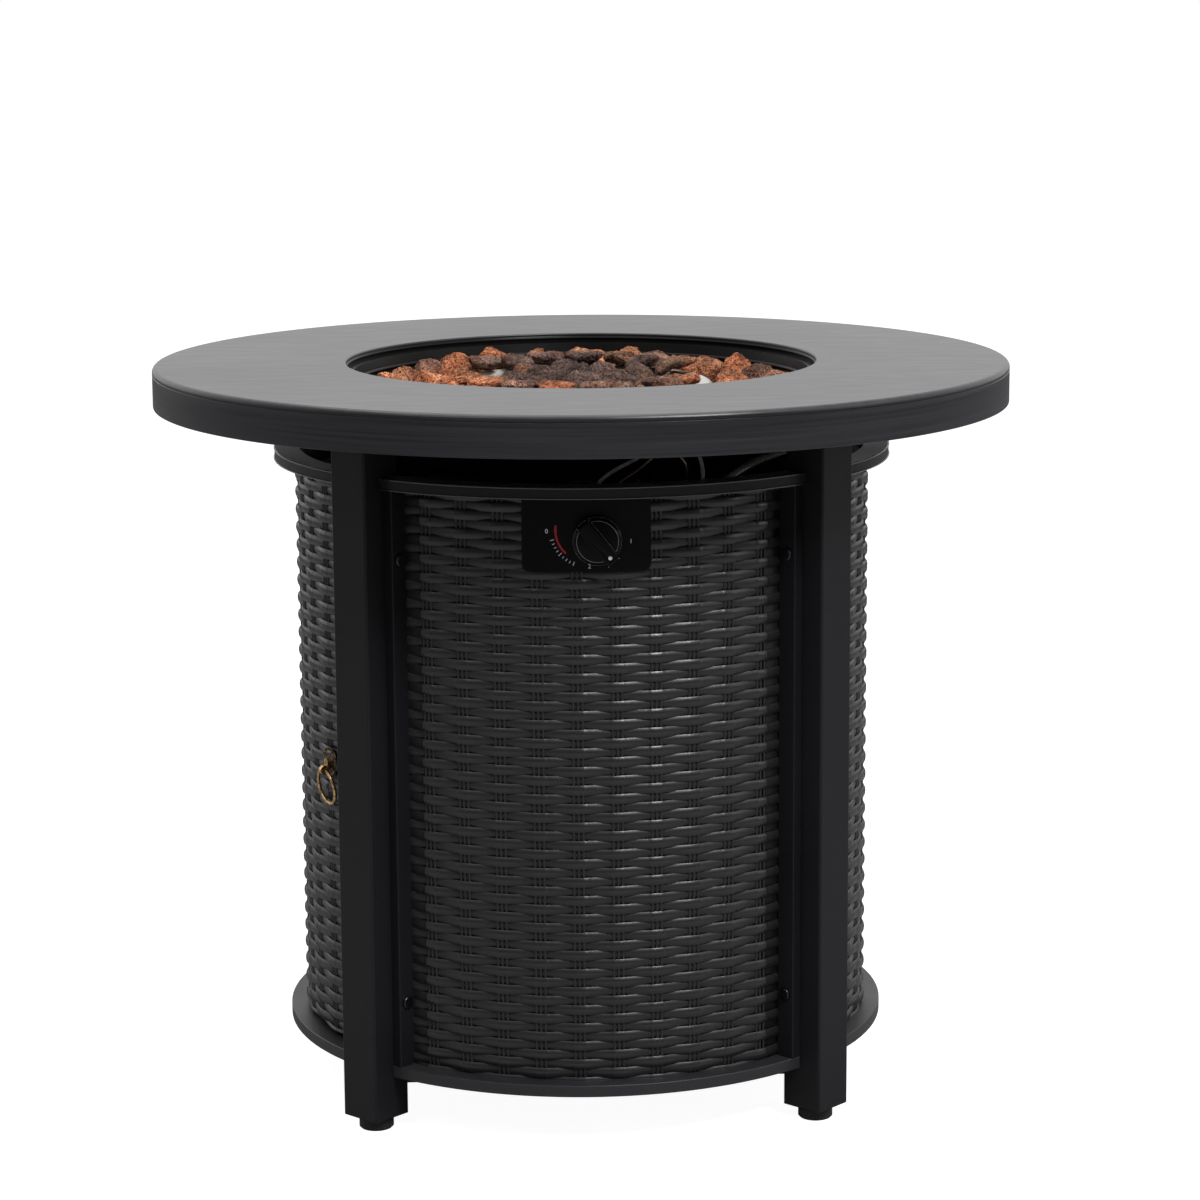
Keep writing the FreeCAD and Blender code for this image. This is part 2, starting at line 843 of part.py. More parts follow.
# Side posts: channels beside the legs that frame each panel, screwed to the legs
def make_posts():
    half = s.leg_side / 2
    shell = block(half, post_inner, -post_front, -post_back, s.disc_top, rail_under)

    def outer_edge(edge):
        return along(edge, up) and abs(edge.CenterOfMass.x - post_inner.value) < 0.01

    shell = rounded(shell, edge_soft, outer_edge)
    wall = s.post_steel
    tools = [
        block(
            half - 1, post_inner - wall, -(post_front - wall), -(post_back + wall),
            s.disc_top - 1, rail_under + 1,
        )
    ]
    screws = []
    for level in (s.post_screw_low, s.post_screw_high):
        tools.append(rod("x", s.screw_shank + 0.1, half, post_inner + 1, -post_middle, level))
        head = rod("x", s.screw_head, post_inner, post_inner + screw_dome, -post_middle, level)
        shank = rod("x", s.screw_shank, half - 6, post_inner + 1, -post_middle, level)
        screws.append(fuse(rounded(head, as_size(screw_dome * 0.5), dome_edge), shank))
    around("side_posts", cut(shell, *tools), legs.values(), mirrored=True)
    doc.recompute()
    pair = doc.addObject("Part::Compound", "ScrewPair")
    pair.Links = screws
    around("post_screws", pair, legs.values(), mirrored=True)


screw_dome = 2.6


def dome_edge(edge):
    """True for the outer rim of a post screw's head."""
    at_front = abs(edge.CenterOfMass.x - (post_inner.value + screw_dome)) < 0.01
    return edge.Curve.TypeId == "Part::GeomCircle" and at_front


# Panels: steel sheet embossed with rows of strands, curved between the posts
slope = 3
land = 5


def panel_sheet(half_angle, low, high):
    """Embossed sheet centred on the front, from one height to another."""
    rise = s.emboss_depth.value
    base = panel_outer.value
    rows = int((high - low - land) / s.strand_pitch.value)
    margin = (high - low - rows * s.strand_pitch.value) / 2
    outer = [(base, low)]
    for row in range(rows):
        foot = low + margin + (row + 0.5) * s.strand_pitch.value - slope - land / 2
        outer.append((base, foot))
        outer.append((base + rise, foot + slope))
        outer.append((base + rise, foot + slope + land))
        outer.append((base, foot + 2 * slope + land))
    outer.append((base, high))
    inner = [(radius - s.panel_steel.value, height) for radius, height in reversed(outer)]
    corners = [FreeCAD.Vector(0, -radius, height) for radius, height in outer + inner]
    face = Part.Face(Part.makePolygon(corners + corners[:1]))
    face.rotate(FreeCAD.Vector(), up, -half_angle)
    return face.revolve(FreeCAD.Vector(), up, 2 * half_angle)


def make_panels():
    edge = post_inner + s.panel_gap
    half_angle = (half_right_angle - angle_over(edge, s.panel_crest)).value
    high = rail_under.value - s.panel_gap.value
    sheet_shape = panel_sheet(half_angle, s.disc_top.value, high)
    for name in ("front", "right", "rear"):
        shape = sheet_shape.copy()
        if name == "front":
            holes = [drill(valve_hole, 0)]
            holes += [drill(plate_stud + 0.4, x) for x in (-stud_across, stud_across)]
            shape = shape.cut(Part.makeCompound(holes))
        shape.rotate(FreeCAD.Vector(), up, sides[name])
        feature("panel_" + name, shape)


def drill(radius, x):
    """Tool for a hole through the front panel at the knob's height."""
    start = FreeCAD.Vector(x, -(s.panel_crest.value + 2), s.knob_height.value)
    return Part.makeCylinder(radius, s.emboss_depth.value + 8, start, FreeCAD.Vector(0, 1, 0))


valve_hole = 14
plate_stud = 2
stud_across = 27


# Door: embossed sheet on the left side with a stile at each edge, turning on two pins
tab_low = s.disc_top + 2.2
tab_high = rail_under - 3
stile_outer = panel_inner - 0.1
stile_inner = stile_outer - s.stile_depth
door_edge = post_inner + s.door_gap


def stile_arc(low, high):
    """Bar behind one edge of the door, in the frame of the leg beside it."""
    start = angle_over(door_edge, stile_outer)
    sweep = angle_over(door_edge + s.stile_width, stile_outer) - start
    outline = ((stile_inner, low), (stile_outer, low), (stile_outer, high), (stile_inner, high))
    return swung(turned(outline, sweep), (start + sweep / 2).value)


def make_door():
    half_angle = (half_right_angle - angle_over(door_edge, s.panel_crest)).value
    low = tab_low + s.tab_steel + 0.2
    high = tab_high - s.tab_steel - 0.2
    sheet_shape = panel_sheet(half_angle, low.value, high.value)
    sheet_shape.rotate(FreeCAD.Vector(), up, sides["left"])
    front = FreeCAD.Vector(0, -(s.panel_crest.value + 10), plate_level.value)
    hole = Part.makeCylinder(eye_stud + 0.2, 30, front, FreeCAD.Vector(0, 1, 0))
    hole.rotate(FreeCAD.Vector(), up, s.pull_azimuth.value)
    feature("door_panel", sheet_shape.cut(hole))
    parts = [stile_arc(tab_low, tab_high)]
    holes = []
    for bottom in (tab_low, tab_high - s.tab_steel):
        top = bottom + s.tab_steel
        parts.append(rod("z", tab_round, bottom, top, s.hinge_offset, -s.hinge_reach))
        parts.append(
            block(
                door_edge + 0.2, s.hinge_offset + 8,
                -s.hinge_reach, -(stile_inner - 1), bottom, top,
            )
        )
        holes.append(
            rod(
                "z", s.hinge_pin + s.running_gap, bottom - 1, top + 1,
                s.hinge_offset, -s.hinge_reach,
            )
        )
    piece("door_hinge_stile", cut(fuse(*parts), *holes), legs["rear_left"])
    latch = stile_arc(low, high)
    doc.recompute()
    shape = latch.Shape.mirror(FreeCAD.Vector(), FreeCAD.Vector(1, 0, 0))
    shape.rotate(FreeCAD.Vector(), up, legs["front_left"])
    feature("door_latch_stile", shape)


tab_round = 5.5
eye_stud = 2
plate_level = s.pull_height + 6


# Hinge: a headed pin and a spacer at each end of the door
def make_hinge():
    x = s.hinge_offset
    y = -s.hinge_reach
    spacer_low = tab_high + 0.3
    pins = (
        fuse(
            rod("z", pin_head, s.rail_top, s.rail_top + 2, x, y),
            rod("z", s.hinge_pin, tab_high - s.tab_steel - 5, s.rail_top + 1, x, y),
        ),
        fuse(
            rod("z", pin_head, disc_under - 2, disc_under, x, y),
            rod("z", s.hinge_pin, disc_under - 1, tab_low + s.tab_steel + 5, x, y),
        ),
    )
    spacers = (
        cut(
            rod("z", 5, spacer_low, s.rail_top - s.rail_steel, x, y),
            rod("z", s.hinge_pin + s.running_gap, spacer_low - 1, s.rail_top, x, y),
        ),
        cut(
            rod("z", 5.4, s.disc_top, tab_low - 0.2, x, y),
            rod("z", s.hinge_pin + s.running_gap, s.disc_top - 1, tab_low + 1, x, y),
        ),
    )
    for label, pair in (("hinge_pins", pins), ("hinge_spacers", spacers)):
        group = doc.addObject("Part::Compound", "Pair")
        group.Links = list(pair)
        piece(label, group, legs["rear_left"])


pin_head = 5


# Catch: magnet on a bracket welded to the front left leg, just behind the door's latch stile
def make_catch():
    half = 15
    low = s.pull_height - half
    high = s.pull_height + half
    far = door_edge + s.stile_width
    reach = root(stile_inner * stile_inner - far * far)
    face = reach - s.loose_gap
    magnet_depth = 10
    back = face - magnet_depth
    near = door_edge + 1
    bracket = fuse(
        block(-14, 12, -leg_inside, -(leg_inside - 2), low, high),
        block(-14, -12, -leg_inside, -(back - 2), low, high),
        block(-far, -12, -back, -(back - 2), low, high),
    )
    piece("catch_bracket", bracket, legs["front_left"])
    magnet = block(-far, -near, -face, -back, low + 4, high - 4)
    piece("catch_magnet", swung(magnet, legs["front_left"]))


# Ring pull: round backplate and eye bolted through the door, with a loose ring
def make_pull():
    azimuth = s.pull_azimuth.value
    seat_face = s.panel_crest + 0.1
    plate_front = seat_face + 1.8
    stud = s.pull_height + 6
    plate = cut(
        rounded(rod("y", 14, -plate_front, -seat_face, 0, stud), as_size(1), plate_rim),
        rod("y", eye_stud + 0.1, -(plate_front + 1), -(seat_face - 1), 0, stud),
    )
    piece("pull_backplate", plate, azimuth)
    eye_reach = plate_front + eye_radius + 0.6
    eye = fuse(
        rod("y", eye_stud, -(plate_front + 2), -(panel_inner - 6), 0, stud),
        rod("y", 4, -(plate_front + 3), -plate_front, 0, stud),
        block(-1.8, 1.8, -(plate_front + 3), -(plate_front + 0.6), s.pull_height, stud),
        rod("x", eye_radius, -eye_width, eye_width, -eye_reach, s.pull_height),
    )
    bore = rod("x", s.ring_wire + 0.5, -6, 6, -eye_reach, s.pull_height)
    piece("pull_eye", cut(eye, bore), azimuth)
    nut_seat = panel_inner - 0.1
    nut = cut(
        hexagon("y", 4, -nut_seat, -(nut_seat - 3.2), 0, stud),
        rod("y", eye_stud, -(nut_seat + 1), -(nut_seat - 4), 0, stud),
    )
    piece("pull_nut", nut, azimuth)
    room = eye_reach.value - s.ring_wire.value - s.panel_crest.value - 0.4
    loop = s.ring_radius.value
    lean = math.degrees(math.asin(room / (2 * loop)))
    ring = Part.makeTorus(loop, s.ring_wire.value, FreeCAD.Vector(), FreeCAD.Vector(0, 1, 0))
    ring.translate(FreeCAD.Vector(0, 0, -loop))
    ring.rotate(FreeCAD.Vector(), FreeCAD.Vector(1, 0, 0), lean)
    ring.translate(FreeCAD.Vector(0, -eye_reach.value, s.pull_height.value))
    ring.rotate(FreeCAD.Vector(), up, azimuth)
    feature("pull_ring", ring)
    print("ring pivot reach", round(eye_reach.value, 3), "lean", round(lean, 3))


def plate_rim(edge):
    """True for the front rim of the pull's backplate."""
    front = -(s.panel_crest.value + 1.9)
    return edge.Curve.TypeId == "Part::GeomCircle" and abs(edge.CenterOfMass.y - front) < 0.01


eye_radius = 4.2
eye_width = 2.2


# Control: curved plate, bracket, valve body, rotor, stem and knob on one axis through the front
def make_control():
    level = s.knob_height
    back = s.panel_crest + 0.1
    front = back + s.plate_steel
    shell = cut(
        rod("z", front, s.plate_low, s.plate_high),
        rod("z", back, s.plate_low - 1, s.plate_high + 1),
    )
    window = block(
        -s.plate_left, s.plate_right, -(front + 5), -(back - 30), s.plate_low, s.plate_high
    )

    def low_corner(edge):
        across = along(edge, FreeCAD.Vector(0, 1, 0))
        return across and abs(edge.CenterOfMass.z - s.plate_low.value) < 0.01

    plate = overlap(shell, rounded(window, as_size(6), low_corner))
    weld = root((back + 0.6) * (back + 0.6) - stud_across * stud_across)
    stud_places = (-stud_across, stud_across)
    studs = [rod("y", plate_stud, -weld, -(bracket_back - 6), x, level) for x in stud_places]
    plate = cut(fuse(plate, *studs), rod("y", stem_hole, -(front + 5), -(back - 5), 0, level))
    piece("control_plate", plate)
    nuts = []
    for x in stud_places:
        nuts.append(
            cut(
                hexagon("y", 4, -bracket_back, -(bracket_back - 3.2), x, level),
                rod("y", plate_stud, -(bracket_back + 1), -(bracket_back - 4), x, level),
            )
        )
    group = doc.addObject("Part::Compound", "Pair")
    group.Links = nuts
    piece("plate_nuts", group)
    bracket_front = bracket_back + 2
    near = -(bracket_front + 1)
    far = -(bracket_back - 1)
    holes = [rod("y", plate_stud + 0.2, near, far, x, level) for x in stud_places]
    for rise in (-flange_screw, flange_screw):
        holes.append(rod("y", valve_screw + 0.1, near, far, 0, level + rise))
    holes.append(rod("y", boss_radius + 0.5, near, far, 0, level))
    plate_half = stud_across + 7
    bracket = block(-plate_half, plate_half, -bracket_front, -bracket_back, level - 26, level + 26)
    piece("valve_bracket", cut(bracket, *holes))
    half = s.valve_side / 2
    flange_back = bracket_back - 4
    valve_back = flange_back - s.valve_length
    rotor_back = bracket_back - 16
    body = fuse(
        block(-half + 3, half - 3, -bracket_back, -flange_back, level - 25, level + 25),
        block(-half, half, -flange_back, -valve_back, level - half, level + half),
        rod("y", boss_radius, -(bracket_back + 3), -flange_back, 0, level),
    )
    tools = [
        rod("y", rotor_radius + s.running_gap, -(bracket_back + 4), -rotor_back, 0, level),
        rod("y", s.stem_radius + 0.5, -(bracket_back + 4), -(rotor_back - 6), 0, level),
    ]
    near = -(bracket_back + 1)
    far = -(flange_back - 1)
    for rise in (-flange_screw, flange_screw):
        tools.append(rod("y", valve_screw + 0.1, near, far, 0, level + rise))
    piece("valve_body", cut(body, *tools))
    screws = []
    for rise in (-flange_screw, flange_screw):
        screws.append(
            fuse(
                rod(
                    "y", valve_screw * 1.8, -(bracket_front + 1.2), -bracket_front,
                    0, level + rise,
                ),
                rod("y", valve_screw, -(bracket_front + 1), -(flange_back - 0.5), 0, level + rise),
            )
        )
    group = doc.addObject("Part::Compound", "Pair")
    group.Links = screws
    piece("valve_screws", group)
    flat = s.stem_radius - 1.2
    low = level - boss_radius
    high = level + boss_radius
    bore = overlap(
        rod("y", s.stem_radius + s.running_gap, -(bracket_back + 4), -(rotor_back - 1), 0, level),
        block(
            -boss_radius, flat + s.running_gap, -(bracket_back + 5), -(rotor_back - 2), low, high
        ),
    )
    rotor = cut(rod("y", rotor_radius, -(bracket_back + 2.5), -(rotor_back + 0.5), 0, level), bore)
    piece("valve_rotor", rotor)
    knob_back = front + s.knob_gap
    stem = overlap(
        rod("y", s.stem_radius, -(knob_back + 9), -(rotor_back - 2), 0, level),
        block(-boss_radius, flat, -(knob_back + 10), -(rotor_back - 3), low, high),
    )
    piece("valve_stem", stem)
    make_knob(knob_back, level, flat)
    make_fittings(flange_back, valve_back, half, level)


bracket_back = panel_inner - 4.4
boss_radius = 10
rotor_radius = 8
stem_hole = 7.5
flange_screw = 20
valve_screw = 2


def make_knob(back, level, flat):
    """Round knob with a raised grip bar that points to the dial."""
    skirt = s.knob_radius
    face = back + 7
    disc = fuse(
        rod("y", skirt, -(back + 4), -back, 0, level),
        taper("y", skirt - 3, skirt, -face, -(back + 4), 0, level),
    )
    grip_half = 6.2
    crown = back + 16

    def crown_edge(edge):
        return abs(edge.CenterOfMass.y + crown.value) < 0.01

    grip = block(-(skirt - 0.5), skirt + 0.8, -crown, -back, -grip_half, grip_half)
    grip = rounded(grip, as_size(1.5), crown_edge)
    doc.recompute()
    turned_grip = doc.addObject("Part::Compound", "Grip")
    turned_grip.Links = [grip]
    angle = FreeCAD.Rotation(FreeCAD.Vector(0, -1, 0), s.knob_angle.value)
    turned_grip.Placement = FreeCAD.Placement(FreeCAD.Vector(0, 0, level.value), angle)
    bore = overlap(
        rod("y", s.stem_radius + s.running_gap, -(back + 9), -(back - 1), 0, level),
        block(-10, flat + s.running_gap, -(back + 10), -(back - 2), level - 10, level + 10),
    )
    dot_reach = skirt.value - 4.5
    angle = math.radians(s.knob_angle.value)
    dot = rod(
        "y", 1.6, -(crown + 1), -(crown - 0.5), dot_reach * math.cos(angle),
        level + dot_reach * math.sin(angle),
    )
    piece("control_knob", cut(fuse(disc, turned_grip), bore, dot))


def make_fittings(flange_back, valve_back, half, level):
    """Gas inlet below the valve, outlet to its right and the spark unit behind it."""
    middle = (flange_back + valve_back) / 2
    low = level - half
    inlet = cut(
        fuse(
            hexagon("z", 9.8, low - 9, low, 0, -middle),
            rod("z", s.inlet_radius, low - 23, low - 9, 0, -middle),
        ),
        rod("z", 3, low - 24, low + 1, 0, -middle),
    )
    outlet = cut(
        fuse(
            hexagon("x", 7, half, half + 8, -middle, level),
            rod("x", s.hose_radius - 0.5, half + 8, half + 16, -middle, level),
        ),
        rod("x", 2, half - 1, half + 17, -middle, level),
    )
    group = doc.addObject("Part::Compound", "Pair")
    group.Links = [inlet, outlet]
    piece("valve_fittings", group)
    spark = fuse(
        block(-half + 4, half - 6, -valve_back, -(valve_back - 20), level - 8, level + 12),
        rod("z", 2.6, level + 12, level + 16, 0, -(valve_back - 10)),
    )
    piece("piezo_igniter", spark)


# Hose and leads: routes of hand-picked points, rounded with tangent arcs
def rounded_route(points):
    """Edges, radii and length of straight runs joined by arcs as wide as the runs allow."""
    corners = [FreeCAD.Vector(*point) for point in points]
    edges = []
    radii = []
    start = corners[0]
    for before, corner, after in zip(corners, corners[1:], corners[2:]):
        run_in = (corner - before).normalize()
        run_out = (after - corner).normalize()
        turn = run_in.getAngle(run_out)
        short = min((corner - before).Length, (after - corner).Length)
        reach = 0.45 * short
        radius = reach / math.tan(turn / 2)
        begin = corner - run_in * reach
        end = corner + run_out * reach
        inward = (run_out - run_in).normalize()
        centre = corner + inward * (radius / math.cos(turn / 2))
        middle = centre - inward * radius
        edges.append(Part.makeLine(start, begin))
        edges.append(Part.Arc(begin, middle, end).toShape())
        radii.append(radius)
        start = end
    edges.append(Part.makeLine(start, corners[-1]))
    return edges, radii, sum(edge.Length for edge in edges)


def lead(label, points, radius):
    """Round cable along a route."""
    edges, radii, length = rounded_route(points)
    spine = Part.Wire(edges)
    start = edges[0].valueAt(edges[0].FirstParameter)
    heading = edges[0].tangentAt(edges[0].FirstParameter)
    section = Part.Wire(Part.makeCircle(radius, start, heading))
    tube = spine.makePipeShell([section], True, False)
    share = tube.Volume / (math.pi * radius * radius * length)
    print(label, "length", round(length, 1), "least radius", round(min(radii), 1))
    print(label, "volume share", round(share, 4))
    feature(label, tube)


def hose(label, points, radius, bore, ribs):
    """Ribbed hose along a route: ruled through four circles to each rib, with a bore."""
    edges, radii, length = rounded_route(points)
    cuff = 2 * radius
    pitch = (length - 2 * cuff) / ribs
    root_radius = radius - 0.9
    stations = [(0, root_radius), (cuff, root_radius)]
    for rib in range(ribs):
        foot = cuff + rib * pitch
        stations.append((foot + 0.30 * pitch, root_radius))
        stations.append((foot + 0.42 * pitch, radius))
        stations.append((foot + 0.78 * pitch, radius))
        stations.append((foot + 0.90 * pitch, root_radius))
    stations.append((length - cuff, root_radius))
    stations.append((length, root_radius))
    side = None
    outer = []
    inner = []
    for station, ring_radius in stations:
        centre, heading = point_on(edges, station)
        if side is None:
            side = heading.cross(up).normalize()
        side = (side - heading * side.dot(heading)).normalize()
        turn = FreeCAD.Rotation(side, heading.cross(side), heading, "ZXY")
        frame = FreeCAD.Placement(centre, turn)
        for size, wires in ((ring_radius, outer), (bore, inner)):
            ring = Part.makeCircle(size)
            ring.Placement = frame
            wires.append(Part.Wire(ring))
    solid = Part.makeLoft(outer, True, True).cut(Part.makeLoft(inner, True, True))
    print(label, "length", round(length, 1), "least radius", round(min(radii), 1))
    print(label, "rib pitch", round(pitch, 2))
    feature(label, solid)


def point_on(edges, station):
    """Point and heading at a length along a route."""
    for edge in edges:
        if station <= edge.Length + 1e-7:
            parameter = edge.getParameterByLength(min(station, edge.Length))
            return edge.valueAt(parameter), edge.tangentAt(parameter).normalize()
        station -= edge.Length
    return edges[-1].valueAt(edges[-1].LastParameter), edges[-1].tangentAt(edges[-1].LastParameter)


# Gas hose from the valve to the burner, and the two thin leads to the pilot
def make_lines():
    side = bracket_back.value - 4 - s.valve_length.value / 2
    level = s.knob_height.value
    valve_side = s.valve_side.value / 2
    outlet = valve_side + 16
    elbow_level = floor_under.value - 42
    hose(
        "gas_hose",
        (
            (outlet, -side, level),
            (52, -side, level),
            (78, -218, 543),
            (106, -207, 563),
            (132, -191, 577),
            (158, -167, 583),
            (181, -136, 582),
            (200, -100, 572),
            (203, -60, 556),
            (190, -25, 540),
            (160, 2, 528),
            (122, 12, elbow_level),
            (84, 8, elbow_level),
            (52, 0, elbow_level),
            (hose_end, 0, elbow_level),
        ),
        s.hose_radius.value, 2.4, 190,
    )
    warm = spot(lead_spread, s.pilot_circle, s.pilot_azimuth.value)
    spark = spot(-lead_spread, s.pilot_circle, s.pilot_azimuth.value)
    ear = floor_top.value + 34
    valve_top = level + valve_side
    lead(
        "thermocouple_lead",
        (
            (8, -216, valve_top),
            (8, -216, valve_top + 14),
            (22, -214, 568),
            (41, -213, 580),
            (54.5, -214, 593.5),
            (68, -214, 593.5),
            (77, -214, 584),
            (79, -208, 569.5),
            (77, -194, 556),
            (66, -165, 541),
            (warm.x, warm.y, 548),
            (warm.x, warm.y, ear - 14),
        ),
        1.2,
    )
    terminal = bracket_back.value - 4 - s.valve_length.value - 10
    lead(
        "ignition_lead",
        (
            (0, -terminal, level + 16),
            (0, -terminal, level + 34),
            (16, -199, 575),
            (36, -206, 586),
            (55, -211, 598),
            (71, -213, 605),
            (85, -213, 597),
            (92, -209, 581),
            (93, -198, 563),
            (86, -178, 553),
            (66, -152, 550),
            (spark.x, spark.y, 547),
            (spark.x, spark.y, ear - 18),
        ),
        1.6,
    )


# Lava rocks: convex stones with random facets, kept clear of each other, of the burner
# parts and of the bowl by flat cuts between them
rock_gap = 0.2


def clipped(faces, normal, reach):
    """Convex body given as faces, less all that lies past a plane."""
    kept = []
    rim = []
    for corners in faces:
        result = []
        for k, corner in enumerate(corners):
            after = corners[(k + 1) % len(corners)]
            here = corner.dot(normal) - reach
            there = after.dot(normal) - reach
            if here <= 0:
                result.append(corner)
            if (here < 0 < there) or (there < 0 < here):
                result.append(corner + (after - corner) * (here / (here - there)))
        if len(result) > 2:
            kept.append(result)
            rim += [corner for corner in result if abs(corner.dot(normal) - reach) < 1e-7]
    distinct = []
    for corner in rim:
        if all((corner - other).Length > 1e-6 for other in distinct):
            distinct.append(corner)
    if len(distinct) > 2 and len(kept) < len(faces) + 1:
        middle = FreeCAD.Vector()
        for corner in distinct:
            middle = middle + corner
        middle = middle / len(distinct)
        first = (distinct[0] - middle).normalize()
        second = normal.cross(first)

        def bearing(corner):
            return math.atan2((corner - middle).dot(second), (corner - middle).dot(first))

        distinct.sort(key=bearing)
        if any(corner.dot(normal) - reach > 1e-7 for face in faces for corner in face):
            kept.append(distinct)
    return kept


def nearest_in_box(point, low, high, azimuth):
    """Nearest point of an upright box that stands at an azimuth."""
    local = FreeCAD.Rotation(up, -azimuth).multVec(point)
    held = FreeCAD.Vector(*(min(max(v, a), b) for v, a, b in zip(local, low, high)))
    return FreeCAD.Rotation(up, azimuth).multVec(held)


def nearest_on_run(point, start, end):
    """Nearest point of a straight run."""
    run = end - start
    share = min(max((point - start).dot(run) / run.dot(run), 0), 1)
    return start + run * share


def rock_barriers(centre):
    """Planes, as normal and reach, that part a rock from the bowl and the burner parts."""
    barriers = []
    floor = floor_top.value
    barriers.append((FreeCAD.Vector(0, 0, -1), -(floor + rock_gap)))
    barriers.append((FreeCAD.Vector(up), s.table_height.value - rock_crown))
    wall = s.bowl_mouth.value - s.bowl_floor.value
    depth = flange_top.value - floor
    tilt = math.atan2(wall, depth)
    azimuth = math.degrees(math.atan2(centre.y, centre.x))
    corner = s.bowl_bend.value
    for turn in (-10, -6, -2, 2, 6, 10):
        outward = FreeCAD.Rotation(up, azimuth + turn).multVec(FreeCAD.Vector(1, 0, 0))
        normal = outward * math.cos(tilt) - up * math.sin(tilt)
        foot = outward * s.bowl_floor.value + up * floor
        barriers.append((normal, foot.dot(normal) - 0.5))
        normal = (outward - up).normalize()
        middle = outward * (s.bowl_floor.value - corner) + up * (floor + corner)
        barriers.append((normal, middle.dot(normal) + corner - 1.4))
    ring = s.burner_circle.value
    level = burner_height.value
    solids = []
    for k in range(36):
        ends = []
        for turn in (10 * k, 10 * k + 10):
            ends.append(FreeCAD.Rotation(up, turn).multVec(FreeCAD.Vector(ring, 0, level)))
        solids.append((nearest_on_run(centre, *ends), s.burner_tube.value + 0.8))
    cross = (FreeCAD.Vector(-ring, 0, level), FreeCAD.Vector(ring, 0, level))
    solids.append((nearest_on_run(centre, *cross), 7.3))
    axis = FreeCAD.Vector(centre.x, centre.y, 0)
    axis = axis * (min(17.0, axis.Length) / max(axis.Length, 1e-6))
    solids.append((axis + up * min(max(centre.z, floor), level + 10), 0.3))
    for turn in (60, 180, 300):
        low = (-10, -(ring + 1), floor)
        high = (10, -(ring - 18), floor + 2)
        solids.append((nearest_in_box(centre, low, high, turn), 0.3))
        high = (10, -(ring - 1), level - s.burner_tube.value)
        solids.append((nearest_in_box(centre, low, high, turn), 0.3))
    back = s.pilot_circle.value
    low = (-16, -(back + 8), floor)
    high = (16, -(back - 10), level + 9)
    solids.append((nearest_in_box(centre, low, high, s.pilot_azimuth.value), 0.3))
    high = (16, -(back - 22), floor + 2)
    solids.append((nearest_in_box(centre, low, high, s.pilot_azimuth.value), 0.3))
    for point, margin in solids:
        away = point - centre
        if away.Length < 60:
            normal = FreeCAD.Vector(away).normalize()
            barriers.append((normal, point.dot(normal) - margin - rock_gap))
    return barriers


def rock_planes(centre, size, others):
    """Planes that part a rock from everything beside it."""
    planes = rock_barriers(centre)
    for other, other_size in others:
        away = other - centre
        if 0 < away.Length < 1.5 * (size + other_size):
            normal = FreeCAD.Vector(away).normalize()
            share = away.Length * size / (size + other_size)
            planes.append((normal, centre.dot(normal) + share - rock_gap))
    return planes


def facets(centre, size, chance):
    """Planes all round a rock at uneven distances."""
    count = 15
    planes = []
    for k in range(count):
        height = 1 - 2 * (k + 0.5) / count
        turn = 2.39996 * k + chance.uniform(-0.35, 0.35)
        width = math.sqrt(1 - height * height)
        normal = FreeCAD.Vector(width * math.cos(turn), width * math.sin(turn), height)
        tilt = FreeCAD.Vector(*(chance.uniform(-0.25, 0.25) for axis in range(3)))
        normal = (normal + tilt).normalize()
        planes.append((normal, centre.dot(normal) + size * chance.uniform(0.74, 0.98)))
    return planes


def shortest_edge(faces):
    """Length of the shortest edge of a convex body."""
    return min((corner - face[k - 1]).Length for face in faces for k, corner in enumerate(face))


def rock_solid(centre, size, others, chance):
    """One stone: a faceted lump cut back wherever it would reach a neighbour."""
    barriers = rock_planes(centre, size, others)
    if any(centre.dot(normal) > reach - 3 for normal, reach in barriers):
        return None
    ends = (-size, size)
    corners = [centre + FreeCAD.Vector(x, y, z) for x in ends for y in ends for z in ends]
    order = ((0, 1, 3, 2), (4, 6, 7, 5), (0, 4, 5, 1), (2, 3, 7, 6), (0, 2, 6, 4), (1, 5, 7, 3))
    cube = [[corners[k] for k in face] for face in order]
    best = []
    for attempt in range(8):
        faces = cube
        for normal, reach in barriers + facets(centre, size, chance):
            faces = clipped(faces, normal, reach)
        if not best or shortest_edge(faces) > shortest_edge(best):
            best = faces
        if shortest_edge(best) > 0.5:
            break
    skins = [Part.Face(Part.makePolygon(face + face[:1])) for face in best]
    solid = Part.makeSolid(Part.makeShell(skins))
    if solid.Volume < 0:
        solid.reverse()
    return solid


def rock_centres(rings, chance):
    """Stone centres and sizes on rings, each ring as radius, count, height and size."""
    centres = []
    for radius, count, height, size in rings:
        start = chance.uniform(0, 360)
        for k in range(count):
            turn = math.radians(start + 360 * k / count + chance.uniform(-0.12, 0.12) * 360 / count)
            reach = radius + chance.uniform(-3, 3)
            level = height + chance.uniform(-3, 3)
            centre = FreeCAD.Vector(reach * math.cos(turn), reach * math.sin(turn), level)
            centres.append((centre, size * chance.uniform(0.92, 1.1)))
    return centres


lower_rings = ((46, 6, 587, 23), (82, 10, 585, 21), (140, 15, 588, 25), (170, 19, 588, 24))
upper_rings = (
    (34, 6, 620, 22),
    (66, 11, 619, 21),
    (92, 13, 604, 15),
    (139, 20, 616, 21),
    (176, 26, 617, 21),
)
rock_crown = 6.5
crest_turns = (34, 52, 69, 86, 103, 120, 137, 204, 221, 238, 256, 273, 305, 323)
crest_level = 632
crest_size = 20


